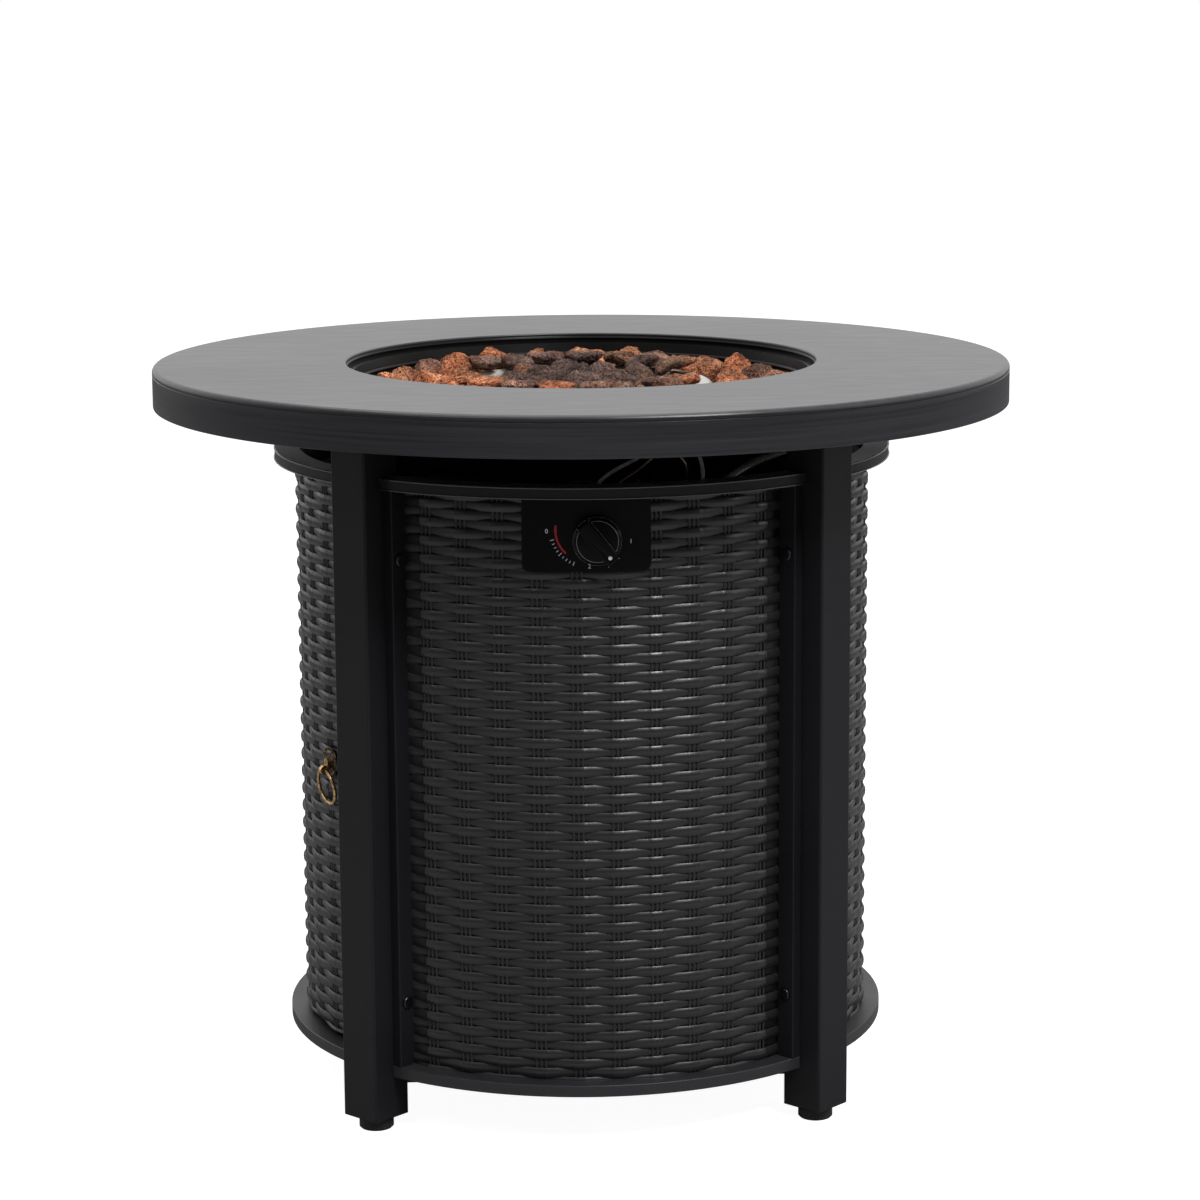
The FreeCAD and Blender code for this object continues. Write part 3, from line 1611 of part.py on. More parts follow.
def make_rocks():
    chance = random.Random(7)
    lower = rock_centres(lower_rings, chance)
    upper = rock_centres(upper_rings, chance)
    for turn in crest_turns:
        reach = s.burner_circle.value + chance.uniform(-4, 4)
        centre = FreeCAD.Rotation(up, turn).multVec(FreeCAD.Vector(reach, 0, crest_level))
        upper.append((centre, crest_size * chance.uniform(0.9, 1.15)))
    everything = lower + upper
    for label, layer in (("lava_rocks_lower", lower), ("lava_rocks_upper", upper)):
        stones = []
        for centre, size in layer:
            stone = rock_solid(centre, size, everything, chance)
            if stone is not None and stone.isValid() and stone.Volume > 1500:
                stones.append(stone)
        box = Part.makeCompound(stones).BoundBox
        print(label, "stones", len(stones), "heights", round(box.ZMin, 1), round(box.ZMax, 1))
        feature(label, Part.makeCompound(stones))


make_tabletop()
make_bowl()
make_burner()
make_pilot()
make_legs()
make_feet()
make_rails()
make_disc()
make_bars()
make_posts()
make_panels()
make_door()
make_hinge()
make_catch()
make_pull()
make_control()
make_lines()
make_rocks()

# Checks, then one STEP file for each sub-part
doc.recompute()
faults = []
for obj in doc.Objects:
    if "Invalid" in obj.State or "Error" in obj.State:
        faults.append((obj.Name, obj.Label, obj.State))
for obj in pieces:
    if obj.Shape.isNull() or not obj.Shape.isValid() or obj.Shape.Volume <= 0:
        faults.append((obj.Name, obj.Label, "shape"))
if faults:
    raise SystemExit("faulty objects: %s" % faults)
for obj in pieces:
    obj.Shape.exportStep(os.path.join(OUT, obj.Label + ".step"))
print("sub-parts", len(pieces))
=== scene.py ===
# Gas fire pit table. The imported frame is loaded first, and each section below
# finishes one piece of the real table, in the order in which it is put together.
import math
import random

import bmesh
import bpy
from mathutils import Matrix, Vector


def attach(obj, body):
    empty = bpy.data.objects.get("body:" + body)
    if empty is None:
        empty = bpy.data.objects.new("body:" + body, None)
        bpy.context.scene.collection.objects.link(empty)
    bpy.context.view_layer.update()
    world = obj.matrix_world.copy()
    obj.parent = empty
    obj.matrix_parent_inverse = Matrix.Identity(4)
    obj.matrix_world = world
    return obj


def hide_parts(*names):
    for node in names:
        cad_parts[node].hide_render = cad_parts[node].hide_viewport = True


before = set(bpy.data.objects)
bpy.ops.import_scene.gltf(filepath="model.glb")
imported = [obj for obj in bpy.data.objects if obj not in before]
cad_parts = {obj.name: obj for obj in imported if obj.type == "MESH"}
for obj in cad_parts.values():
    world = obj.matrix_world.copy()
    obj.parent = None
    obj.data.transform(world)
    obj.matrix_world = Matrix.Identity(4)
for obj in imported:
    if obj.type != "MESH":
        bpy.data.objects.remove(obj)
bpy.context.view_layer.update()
scene = bpy.context.scene
scene.view_settings.view_transform = "Standard"


# Camera. It stands three metres in front of the table, a little to the left and 35 cm
# above its top, with a portrait lens.
bpy.ops.object.select_all(action="DESELECT")
bpy.ops.object.camera_add(
    location=(-0.1404, -3.0052, 1.001),
    rotation=[math.radians(turn) for turn in (79.199, 0.35, -3.04)],
)
scene.camera = bpy.context.object
scene.camera.data.lens = 101.32
scene.camera.data.sensor_width = 36


# Studio. A pale floor under a white sky, one broad soft lamp above, one at each side and
# two in front. The camera sees the white, and the floor keeps the shadow.
def clear_selection():
    if bpy.context.mode != "OBJECT":
        bpy.ops.object.mode_set(mode="OBJECT")
    bpy.ops.object.select_all(action="DESELECT")


def new_material(name):
    """An empty node material and its shader."""
    material = bpy.data.materials.new(name)
    material.use_nodes = True
    return material, material.node_tree.nodes["Principled BSDF"]


clear_selection()
bpy.ops.mesh.primitive_grid_add(x_subdivisions=8, y_subdivisions=8, size=24, location=(0, 4, 0))
studio_floor = bpy.context.object
studio_floor.name = "studio_floor"
bpy.ops.object.transform_apply()
floor_paint, shader = new_material("floor_paint")
nodes = floor_paint.node_tree.nodes
links = floor_paint.node_tree.links
shader.inputs["Base Color"].default_value = (0.34, 0.34, 0.34, 1)
shader.inputs["Roughness"].default_value = 0.9
shader.inputs["Specular IOR Level"].default_value = 0.1
seen = nodes.new("ShaderNodeLightPath")
glow = nodes.new("ShaderNodeEmission")
glow.inputs["Color"].default_value = (1, 1, 1, 1)
glow.inputs["Strength"].default_value = 0.95
both = nodes.new("ShaderNodeAddShader")
shown = nodes.new("ShaderNodeMixShader")
links.new(shader.outputs[0], both.inputs[0])
links.new(glow.outputs[0], both.inputs[1])
links.new(seen.outputs["Is Camera Ray"], shown.inputs[0])
links.new(shader.outputs[0], shown.inputs[1])
links.new(both.outputs[0], shown.inputs[2])
links.new(shown.outputs[0], nodes["Material Output"].inputs["Surface"])
studio_floor.data.materials.append(floor_paint)

sky = bpy.data.worlds.new("studio_sky")
scene.world = sky
sky.use_nodes = True
nodes = sky.node_tree.nodes
links = sky.node_tree.links
dome = nodes["Background"]
dome.inputs["Color"].default_value = (0.96, 0.97, 1.0, 1)
dome.inputs["Strength"].default_value = 0.38
white = nodes.new("ShaderNodeBackground")
white.inputs["Color"].default_value = (1, 1, 1, 1)
white.inputs["Strength"].default_value = 1.0
mirrored = nodes.new("ShaderNodeBackground")
mirrored.inputs["Color"].default_value = (1, 1, 1, 1)
place = nodes.new("ShaderNodeTexCoord")
towards = nodes.new("ShaderNodeSeparateXYZ")
strength = nodes.new("ShaderNodeMapRange")
strength.inputs["From Min"].default_value = -0.75
strength.inputs["From Max"].default_value = 0.6
strength.inputs["To Min"].default_value = 0.1
strength.inputs["To Max"].default_value = 1.1
seen = nodes.new("ShaderNodeLightPath")
clear_ray = nodes.new("ShaderNodeMath")
clear_ray.operation = "MAXIMUM"
lit = nodes.new("ShaderNodeMixShader")
shown = nodes.new("ShaderNodeMixShader")
links.new(place.outputs["Generated"], towards.inputs[0])
links.new(towards.outputs["Y"], strength.inputs["Value"])
links.new(strength.outputs[0], mirrored.inputs["Strength"])
links.new(seen.outputs["Is Glossy Ray"], clear_ray.inputs[0])
links.new(seen.outputs["Is Transmission Ray"], clear_ray.inputs[1])
links.new(clear_ray.outputs[0], lit.inputs[0])
links.new(dome.outputs[0], lit.inputs[1])
links.new(mirrored.outputs[0], lit.inputs[2])
links.new(seen.outputs["Is Camera Ray"], shown.inputs[0])
links.new(lit.outputs[0], shown.inputs[1])
links.new(white.outputs[0], shown.inputs[2])
links.new(shown.outputs[0], nodes["World Output"].inputs["Surface"])

lamps = (
    ("lamp_above", (-0.35, 0.4, 3.2), (8, 0, 0), 3.0, 3.0, 66),
    ("lamp_left", (-2.0, 1.7, 1.1), (77, 0, -130), 1.5, 1.5, 0.8),
    ("lamp_right", (2.8, -0.9, 1.6), (68, 0, 72), 1.4, 1.4, 9),
    ("lamp_front_left", (-1.6, -2.3, 2.9), (45, 0, -36), 1.6, 0.8, 14),
    ("lamp_front_right", (1.3, -2.4, 3.0), (44, 0, 31), 1.0, 0.9, 122),
)
for name, location, turns, width, height, power in lamps:
    bpy.ops.object.light_add(
        type="AREA", location=location, rotation=[math.radians(turn) for turn in turns]
    )
    lamp = bpy.context.object
    lamp.name = name
    lamp.data.shape = "RECTANGLE"
    lamp.data.size = width
    lamp.data.size_y = height
    lamp.data.energy = power


# Gas hose. A corrugated stainless tube runs from the valve's outlet round under the bowl
# to the jet elbow, and its ends are pushed over the brass nipples.
def route_line(name, route, radius=0.0):
    """A smooth open line through a route's points, in metres."""
    line = bpy.data.curves.new(name, "CURVE")
    line.dimensions = "3D"
    run = line.splines.new("NURBS")
    run.points.add(len(route) - 1)
    for point, place in zip(run.points, route):
        point.co = (*place, 1)
    run.order_u = 3
    run.use_endpoint_u = True
    run.resolution_u = 10
    line.bevel_depth = radius
    line.bevel_resolution = 4
    line.use_fill_caps = True
    piece = bpy.data.objects.new(name, line)
    scene.collection.objects.link(piece)
    return piece


def points_along(line):
    """The points of a bare line, from its start to its end."""
    trace = bpy.data.meshes.new_from_object(line)
    points = [vertex.co.copy() for vertex in trace.vertices]
    bpy.data.meshes.remove(trace)
    return points


def take_up(piece):
    """Selects one piece alone and makes it the active one."""
    clear_selection()
    piece.select_set(True)
    bpy.context.view_layer.objects.active = piece


def apply_all(piece):
    """Applies every modifier of a piece, in order."""
    take_up(piece)
    for modifier in list(piece.modifiers):
        bpy.ops.object.modifier_apply(modifier=modifier.name)


def settle(piece):
    """Puts a piece's place, turn and scale into its mesh."""
    take_up(piece)
    bpy.ops.object.transform_apply(location=True, rotation=True, scale=True)


def open_mesh():
    """Goes into edit mode with the whole mesh selected."""
    bpy.ops.object.mode_set(mode="EDIT")
    bpy.ops.mesh.select_all(action="SELECT")


def close_mesh(inside=False):
    """Turns all the faces to one side and leaves edit mode."""
    bpy.ops.mesh.select_all(action="SELECT")
    bpy.ops.mesh.normals_make_consistent(inside=inside)
    bpy.ops.object.mode_set(mode="OBJECT")


def fit_piece(piece, body, slot, material, *stands_for):
    """Gives a new piece its finish, its body and the nodes that it stands for."""
    piece.data.materials.clear()
    piece.data.materials.append(material)
    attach(piece, body)
    if stands_for:
        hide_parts(*stands_for)


def finish_nodes(material, *names):
    """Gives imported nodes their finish."""
    for name in names:
        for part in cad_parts[name].material_slots:
            part.material = material


def feed(material, source, socket):
    """Joins a socket to another node's output, or gives it a plain value."""
    if isinstance(source, bpy.types.NodeSocket):
        material.node_tree.links.new(source, socket)
    else:
        socket.default_value = source


def textured(material, kind, scale, detail=2.0, place=None):
    """A noise, or the distances in a cell texture, on the object's own coordinates."""
    nodes = material.node_tree.nodes
    texture = nodes.new("ShaderNodeTex" + kind)
    texture.inputs["Scale"].default_value = scale
    feed(material, place or nodes.new("ShaderNodeTexCoord").outputs["Object"], texture.inputs["Vector"])
    if kind == "Voronoi":
        return texture.outputs["Distance"]
    texture.inputs["Detail"].default_value = detail
    return texture.outputs["Fac"]


def graded(material, source, low, high, start=0.0, stop=1.0):
    """A number that goes from low to high while its source goes from start to stop."""
    grade = material.node_tree.nodes.new("ShaderNodeMapRange")
    for socket, value in zip(grade.inputs, (source, start, stop, low, high)):
        feed(material, value, socket)
    return grade.outputs[0]


def mixed(material, share, first, second, blend="MIX"):
    """Two colours mixed by a share. Each of the three is plain or comes from a node."""
    mix = material.node_tree.nodes.new("ShaderNodeMixRGB")
    mix.blend_type = blend
    for socket, value in zip(mix.inputs, (share, first, second)):
        feed(material, value, socket)
    return mix.outputs[0]


def ramped(material, source, *stops):
    """A colour read off a ramp of (position, colour) stops."""
    ramp = material.node_tree.nodes.new("ShaderNodeValToRGB")
    elements = ramp.color_ramp.elements
    for element, (position, colour) in zip(elements, (stops[0], stops[-1])):
        element.position = position
        element.color = (*colour, 1)
    for position, colour in stops[1:-1]:
        elements.new(position).color = (*colour, 1)
    feed(material, source, ramp.inputs["Fac"])
    return ramp.outputs[0]


def shade_of(colour, strength):
    """A darker or lighter shade of a colour."""
    return (*[min(1, c * strength) for c in colour], 1)


def finish_surface(material, colour, rough, height, strength, distance):
    """Gives a material's shader its colour, its roughness and its fine relief."""
    shader = material.node_tree.nodes["Principled BSDF"]
    feed(material, colour, shader.inputs["Base Color"])
    feed(material, rough, shader.inputs["Roughness"])
    bump = material.node_tree.nodes.new("ShaderNodeBump")
    bump.inputs["Strength"].default_value = strength
    bump.inputs["Distance"].default_value = distance
    feed(material, height, bump.inputs["Height"])
    feed(material, bump.outputs[0], shader.inputs["Normal"])


def metal_material(name, colour, rough, grain=600.0, stain=14.0, stain_depth=0.12):
    """Bare metal with fine scratches, soft stains and uneven gloss."""
    material, shader = new_material(name)
    shader.inputs["Metallic"].default_value = 1.0
    stains = textured(material, "Noise", stain, 5)
    tint = mixed(
        material, stains, shade_of(colour, 1 - stain_depth), shade_of(colour, 1 + stain_depth)
    )
    gloss = graded(material, stains, max(0.05, rough - 0.08), rough + 0.1, 0.3, 0.7)
    scratches = textured(material, "Noise", grain, 3)
    finish_surface(material, tint, gloss, scratches, 0.35, 0.0002)
    return material


hose_route = (
    (0.031, -0.2241, 0.527), (0.052, -0.2241, 0.527), (0.078, -0.218, 0.543),
    (0.106, -0.207, 0.563), (0.132, -0.191, 0.577), (0.158, -0.167, 0.583),
    (0.181, -0.136, 0.582), (0.200, -0.100, 0.572), (0.203, -0.060, 0.556),
    (0.190, -0.025, 0.540), (0.160, 0.002, 0.528), (0.122, 0.012, 0.523),
    (0.084, 0.008, 0.523), (0.052, 0.000, 0.523), (0.030, 0.000, 0.523),
)
hose_root = 0.0036
rib_count = 192
hose_line = route_line("hose_line", hose_route)
hose_points = points_along(hose_line)
hose_length = sum((b - a).length for a, b in zip(hose_points, hose_points[1:]))
rib = hose_length / rib_count
clear_selection()
bpy.ops.mesh.primitive_circle_add(
    vertices=16, radius=hose_root, rotation=(0, math.radians(90), 0)
)
gas_hose = bpy.context.object
gas_hose.name = "corrugated_hose"
bpy.ops.object.transform_apply()
open_mesh()
rib_profile = ((0.2, 1.0), (0.14, 1.19), (0.16, 1.25), (0.16, 1.19), (0.14, 1.0), (0.2, 1.0))
reached = 0.0
for step, (share, swell) in enumerate(rib_profile):
    bpy.ops.mesh.extrude_region_move(TRANSFORM_OT_translate={"value": (share * rib, 0, 0)})
    reached += share * rib
    grow = swell / (rib_profile[step - 1][1] if step else 1.0)
    bpy.ops.transform.resize(value=(1, grow, grow), center_override=(reached, 0, 0))
bpy.ops.object.mode_set(mode="OBJECT")
repeat = gas_hose.modifiers.new("ribs", "ARRAY")
repeat.count = rib_count
repeat.use_merge_vertices = True
repeat.merge_threshold = 0.00001
follow = gas_hose.modifiers.new("route", "CURVE")
follow.object = hose_line
follow.deform_axis = "POS_X"
apply_all(gas_hose)
open_mesh()
bpy.ops.mesh.fill_holes(sides=16)
close_mesh()
bpy.ops.object.shade_smooth_by_angle(angle=math.radians(60))
bpy.data.objects.remove(hose_line)
hose_steel = metal_material("hose_steel", (0.42, 0.41, 0.4), 0.28)
fit_piece(gas_hose, "base", "hose", hose_steel, "gas_hose")


# Thermocouple lead. A thin drawn copper tube loops up from the valve's top, shows as a
# short bright bow in the gap, and drops back to the sensor beside the burner.
copper = metal_material("drawn_copper", (0.5, 0.33, 0.25), 0.34, stain=60.0)
sensor_lead = route_line(
    "copper_sensor_lead",
    (
        (0.008, -0.216, 0.542), (0.008, -0.216, 0.556), (0.022, -0.214, 0.568),
        (0.041, -0.213, 0.580), (0.0545, -0.214, 0.5935), (0.068, -0.214, 0.5935),
        (0.077, -0.214, 0.584), (0.079, -0.208, 0.5695), (0.077, -0.194, 0.556),
        (0.066, -0.165, 0.541), (0.05369, -0.12412, 0.548), (0.05369, -0.12412, 0.5862),
    ),
    0.0012,
)
fit_piece(sensor_lead, "base", "copper", copper, "thermocouple_lead")


# Ignition lead. A spark wire in a woven glass sleeve runs beside the copper tube from the
# spark unit to the electrode's ceramic.
def sleeve_material():
    """Pale glass yarn: a fine woven grain with a little soot."""
    material, shader = new_material("glass_sleeve")
    shader.inputs["Sheen Weight"].default_value = 0.2
    soot = textured(material, "Noise", 70)
    tint = ramped(material, soot, (0.35, (0.2, 0.19, 0.18)), (0.62, (0.5, 0.49, 0.47)))
    yarn = textured(material, "Voronoi", 1400)
    finish_surface(material, tint, 0.85, yarn, 0.7, 0.0003)
    return material


spark_lead = route_line(
    "sleeved_spark_lead",
    (
        (0.0, -0.1951, 0.543), (0.0, -0.1951, 0.561), (0.016, -0.199, 0.575),
        (0.036, -0.206, 0.586), (0.055, -0.211, 0.598), (0.071, -0.213, 0.605),
        (0.085, -0.213, 0.597), (0.092, -0.209, 0.581), (0.093, -0.198, 0.563),
        (0.086, -0.178, 0.553), (0.066, -0.152, 0.550), (0.03866, -0.12959, 0.547),
        (0.03866, -0.12959, 0.5822),
    ),
    0.0016,
)
fit_piece(spark_lead, "base", "lead_sleeve", sleeve_material(), "ignition_lead")


# Frame. Four square tube legs, the rails, the posts, the door's stiles, the base disc and
# the lower bars are welded or screwed steel under one satin black powder coat.
def facing_up(material):
    """How far a surface faces up: the upright part of its normal."""
    nodes = material.node_tree.nodes
    normal = nodes.new("ShaderNodeNewGeometry").outputs["Normal"]
    parts = nodes.new("ShaderNodeSeparateXYZ")
    feed(material, normal, parts.inputs[0])
    return parts.outputs["Z"]


def coat_material(name, colour, rough, peel_scale, peel, level, patch_scale=7.0, painted_top_light=0.0):
    """Powder coat: faint orange peel, uneven gloss and a painted top light that lightens what faces up.
    """
    material, shader = new_material(name)
    shader.inputs["Specular IOR Level"].default_value = level
    patches = textured(material, "Noise", patch_scale, 5)
    gloss = graded(material, patches, rough - 0.05, rough + 0.07, 0.3, 0.7)
    tint = mixed(material, patches, shade_of(colour, 0.8), shade_of(colour, 1.25))
    # what faces up is lightened by painted_top_light: painted light on the top faces
    top_facing_share = graded(material, facing_up(material), 0.0, 1.0, 0.5, 0.95)
    top_lit_tint = mixed(material, top_facing_share, tint, (painted_top_light, painted_top_light, painted_top_light * 1.05, 1), "ADD")
    orange_peel = textured(material, "Noise", peel_scale, 4)
    finish_surface(material, top_lit_tint, gloss, orange_peel, peel, 0.0004)
    return material


def copy_piece(piece, name):
    """A copy with a mesh of its own."""
    clear_selection()
    twin = bpy.data.objects.new(name, piece.data.copy())
    scene.collection.objects.link(twin)
    return twin


def join_into(piece, others):
    """Joins other pieces into one."""
    take_up(piece)
    for other in others:
        other.select_set(True)
    bpy.ops.object.join()


def spin_round(start, arc, steps, level):
    """Turns the open section to its start and spins it about the table's axis."""
    middle = (0, 0, level)
    bpy.ops.transform.rotate(value=start, orient_axis="Z", center_override=middle)
    bpy.ops.mesh.spin(steps=steps, angle=arc, center=middle, axis=(0, 0, 1))


frame_coat = coat_material("frame_coat", (0.0065, 0.0065, 0.0078), 0.4, 900, 0.25, 0.22)
finish_nodes(
    frame_coat,
    "leg_front_left", "leg_front_right", "leg_rear_left", "leg_rear_right", "side_posts",
    "lower_bars", "catch_bracket", "door_hinge_stile", "door_latch_stile",
)
# the rails' coat is a lighter copy of the frame's coat, which is painted light, and its top faces get
# painted top light as well
rail_coat = coat_material("rail_coat", (0.011, 0.011, 0.012), 0.36, 900, 0.25, 0.2, painted_top_light=0.06)
# a lighter copy of the rail's coat for the beads: its gloss is real, and its lighter colour is a
# painted highlight
rail_edge = coat_material("rail_edge", (0.04, 0.04, 0.043), 0.22, 900, 0.1, 0.8)
finish_nodes(rail_coat, "upper_rails")

# a thin bead along each edge of the rails catches the light
rail_arc = math.radians(80.8)
for name, reach, level in (("rail_beads", 0.2751, 0.5637), ("rail_lips", 0.2749, 0.5724)):
    clear_selection()
    bpy.ops.mesh.primitive_circle_add(
        vertices=8, radius=0.0008, location=(reach, 0, level), rotation=(math.radians(90), 0, 0)
    )
    bead = bpy.context.object
    bead.name = name
    bpy.ops.object.transform_apply()
    open_mesh()
    spin_round(-rail_arc / 2, rail_arc, 32, level)
    bpy.ops.mesh.select_all(action="SELECT")
    bpy.ops.mesh.fill_holes(sides=8)
    close_mesh()
    quarters = []
    for turn in (90, 180, 270):
        quarter = copy_piece(bead, "quarter")
        quarter.rotation_euler.z = math.radians(turn)
        settle(quarter)
        quarters.append(quarter)
    join_into(bead, quarters)
    bpy.ops.object.shade_smooth()
    fit_piece(bead, "base", "coat", rail_edge)

# a strip below the upper rail covers the seam behind the door
stop_arc = math.radians(74)
stop_level = 0.558
clear_selection()
bpy.ops.mesh.primitive_plane_add(
    size=1, location=(0.25055, 0, stop_level), rotation=(math.radians(90), 0, 0)
)
door_stop = bpy.context.object
door_stop.name = "door_stop"
door_stop.scale = (0.0013, 0.024, 1)
bpy.ops.object.transform_apply()
open_mesh()
spin_round(-(math.pi + stop_arc / 2), stop_arc, 36, stop_level)
close_mesh()
soften = door_stop.modifiers.new("soften", "BEVEL")
soften.width = 0.0003
soften.limit_method = "ANGLE"
soften.angle_limit = math.radians(50)
apply_all(door_stop)
bpy.ops.object.shade_smooth_by_angle(angle=math.radians(40))
fit_piece(door_stop, "base", "coat", frame_coat)

disc_coat = coat_material("disc_coat", (0.016, 0.016, 0.018), 0.42, 700, 0.3, 0.4)
finish_nodes(disc_coat, "base_disc")


# Feet and leg plugs. Moulded black nylon, with a steel stud in each foot and a plug
# pressed into the tube above it.
def plastic_material(name, colour, rough, level):
    """Moulded plastic with a fine spark-eroded grain."""
    material, shader = new_material(name)
    shader.inputs["Specular IOR Level"].default_value = level
    scuffs = textured(material, "Noise", 45, 6)
    tint = mixed(material, scuffs, shade_of(colour, 0.75), shade_of(colour, 1.4))
    gloss = graded(material, scuffs, rough - 0.08, rough + 0.1)
    grain = textured(material, "Voronoi", 1600)
    finish_surface(material, tint, gloss, grain, 0.25, 0.0002)
    return material


foot_nylon = plastic_material("foot_nylon", (0.012, 0.012, 0.012), 0.55, 0.3)
finish_nodes(
    foot_nylon, "foot_front_left", "foot_front_right", "foot_rear_left", "foot_rear_right",
    "leg_plugs", "hinge_spacers",
)


# Screws, nuts, clips and hinge pins. Steel, blackened where they show on the frame and
# zinc plated where they are hidden underneath.
black_screw = metal_material("blackened_steel", (0.045, 0.045, 0.05), 0.3)
finish_nodes(black_screw, "post_screws", "disc_screws", "hinge_pins")
zinc = metal_material("zinc_plate", (0.42, 0.43, 0.45), 0.36, stain=90.0)
finish_nodes(
    zinc, "tabletop_nuts", "bowl_clips", "bowl_screws", "plate_nuts", "valve_screws",
    "pull_nut", "valve_bracket",
)
ferrite = plastic_material("catch_ferrite", (0.02, 0.02, 0.02), 0.7, 0.3)
finish_nodes(ferrite, "catch_magnet")


# Woven panels. Each side is a sheet pressed and coated to look like wicker: flat strands
# two to a 16 mm pitch pass in turn over and under groups of three upright stakes.
strand_step = 0.008
column_step = 0.03303
wave_depth = 0.0014
valley_sink = 0.0006
strand_half = 0.0046
strand_swell = 0.002
stake_step = 0.0039
stake_mark = 0.0006
weave_radius = 0.2527
sheet_steel = 0.0013
strand_stations = (
    -33.03, -27.0, -21.5, -16.5, -12.0, -8.6, -5.85, -3.9, -1.95, 0.0,
    1.95, 3.9, 5.85, 8.6, 12.0, 16.5, 21.5, 27.0, 33.03,
)


def strand_depth(x):
    """How far a strand's middle stands off the sheet, x metres from its crest."""
    depth = wave_depth * (1 + math.cos(math.pi * x / column_step)) - valley_sink
    near = min(abs(x - mark) for mark in (-stake_step, 0.0, stake_step))
    return depth + stake_mark * max(0.0, 1 - near / (stake_step / 2))


def select_where(piece, kind, test):
    """In edit mode, selects the vertices, edges or faces that pass a test."""
    shape = bmesh.from_edit_mesh(piece.data)
    for part in (*shape.faces, *shape.edges, *shape.verts):
        part.select = False
    shape.select_mode = {kind.upper()}
    for part in {"vert": shape.verts, "edge": shape.edges, "face": shape.faces}[kind]:
        part.select = test(part)
    shape.select_flush_mode()
    bmesh.update_edit_mesh(piece.data)


def cut_off(piece, place, normal):
    """Cuts away what lies past a plane and closes the cut."""
    take_up(piece)
    open_mesh()
    bpy.ops.mesh.bisect(plane_co=place, plane_no=normal, use_fill=True, clear_outer=True)
    bpy.ops.object.mode_set(mode="OBJECT")


# one strand over a whole wave, drawn out of an oval section
start = strand_stations[0] / 1000
clear_selection()
bpy.ops.mesh.primitive_circle_add(
    vertices=10, radius=1, location=(start, 0, 0), rotation=(0, math.radians(90), 0)
)
strand = bpy.context.object
strand.name = "strand"
strand.scale = (strand_half, strand_swell, 1)
bpy.ops.object.transform_apply()
open_mesh()
select_where(strand, "vert", lambda vertex: vertex.co.y > 0.0001)
bpy.ops.transform.resize(value=(1, 0.3, 1), center_override=(start, 0, 0))
bpy.ops.mesh.select_all(action="SELECT")
bpy.ops.transform.translate(value=(0, -strand_depth(start), 0))
for here, after in zip(strand_stations, strand_stations[1:]):
    here, after = here / 1000, after / 1000
    step = (after - here, strand_depth(here) - strand_depth(after), 0)
    bpy.ops.mesh.extrude_region_move(TRANSFORM_OT_translate={"value": step})
bpy.ops.object.mode_set(mode="OBJECT")

waves = 6
rows = 32
twin_strand = copy_piece(strand, "twin_strand")
twin_strand.location = (column_step, 0, strand_step)
settle(twin_strand)
strand.location = (0, 0, 0)
join_into(strand, [twin_strand])
along_wave = strand.modifiers.new("along", "ARRAY")
along_wave.count = waves
along_wave.use_relative_offset = False
along_wave.use_constant_offset = True
along_wave.constant_offset_displace = (2 * column_step, 0, 0)
along_wave.use_merge_vertices = True
along_wave.merge_threshold = 0.00002
up_rows = strand.modifiers.new("up", "ARRAY")
up_rows.count = rows
up_rows.use_relative_offset = False
up_rows.use_constant_offset = True
up_rows.constant_offset_displace = (0, 0, 2 * strand_step)
apply_all(strand)

# three stakes to a column, each a round bar
clear_selection()
bpy.ops.mesh.primitive_cylinder_add(
    vertices=8, radius=0.0014, depth=2 * rows * strand_step,
    location=(0, -0.0011, (rows - 0.5) * strand_step),
)
stake = bpy.context.object
stake.name = "stake"
bpy.ops.object.transform_apply()
stakes = []
for column in range(2 * waves + 1):
    for across in (-stake_step, 0.0, stake_step):
        another = copy_piece(stake, "stake")
        another.location.x = column * column_step + across
        settle(another)
        stakes.append(another)
bpy.data.objects.remove(stake)
join_into(strand, stakes)

# moved so that the middle of the panel lies half way between two columns
strand.location = (-(waves - 0.5) * column_step - column_step, 0, 0)
settle(strand)


def woven_panel(name, half_width, low, high):
    """A weave cut to size, backed by its sheet and bent to the table's curve."""
    panel = copy_piece(strand, name)
    panel.location.z = low - strand_step * 0.25
    settle(panel)
    cut_off(panel, (half_width, 0, 0), (1, 0, 0))
    cut_off(panel, (-half_width, 0, 0), (-1, 0, 0))
    cut_off(panel, (0, 0, high), (0, 0, 1))
    cut_off(panel, (0, 0, low), (0, 0, -1))
    clear_selection()
    bpy.ops.mesh.primitive_cube_add(size=1, location=(0, 0.0005, (low + high) / 2))
    sheet = bpy.context.object
    sheet.scale = (2 * half_width, sheet_steel, high - low)
    settle(sheet)
    open_mesh()
    bpy.ops.mesh.bevel(offset=0.0003, segments=1, affect="EDGES")
    for k in range(1, 40):
        bpy.ops.mesh.select_all(action="SELECT")
        cut = half_width * (k / 20 - 1)
        bpy.ops.mesh.bisect(plane_co=(cut, 0, 0), plane_no=(1, 0, 0))
    bpy.ops.object.mode_set(mode="OBJECT")
    join_into(panel, [sheet])
    bend = panel.modifiers.new("bend", "SIMPLE_DEFORM")
    bend.deform_method = "BEND"
    bend.deform_axis = "Z"
    bend.angle = 2 * half_width / weave_radius
    apply_all(panel)
    bpy.ops.object.shade_smooth_by_angle(angle=math.radians(50))
    panel.location = (0, -weave_radius, 0)
    settle(panel)
    return panel


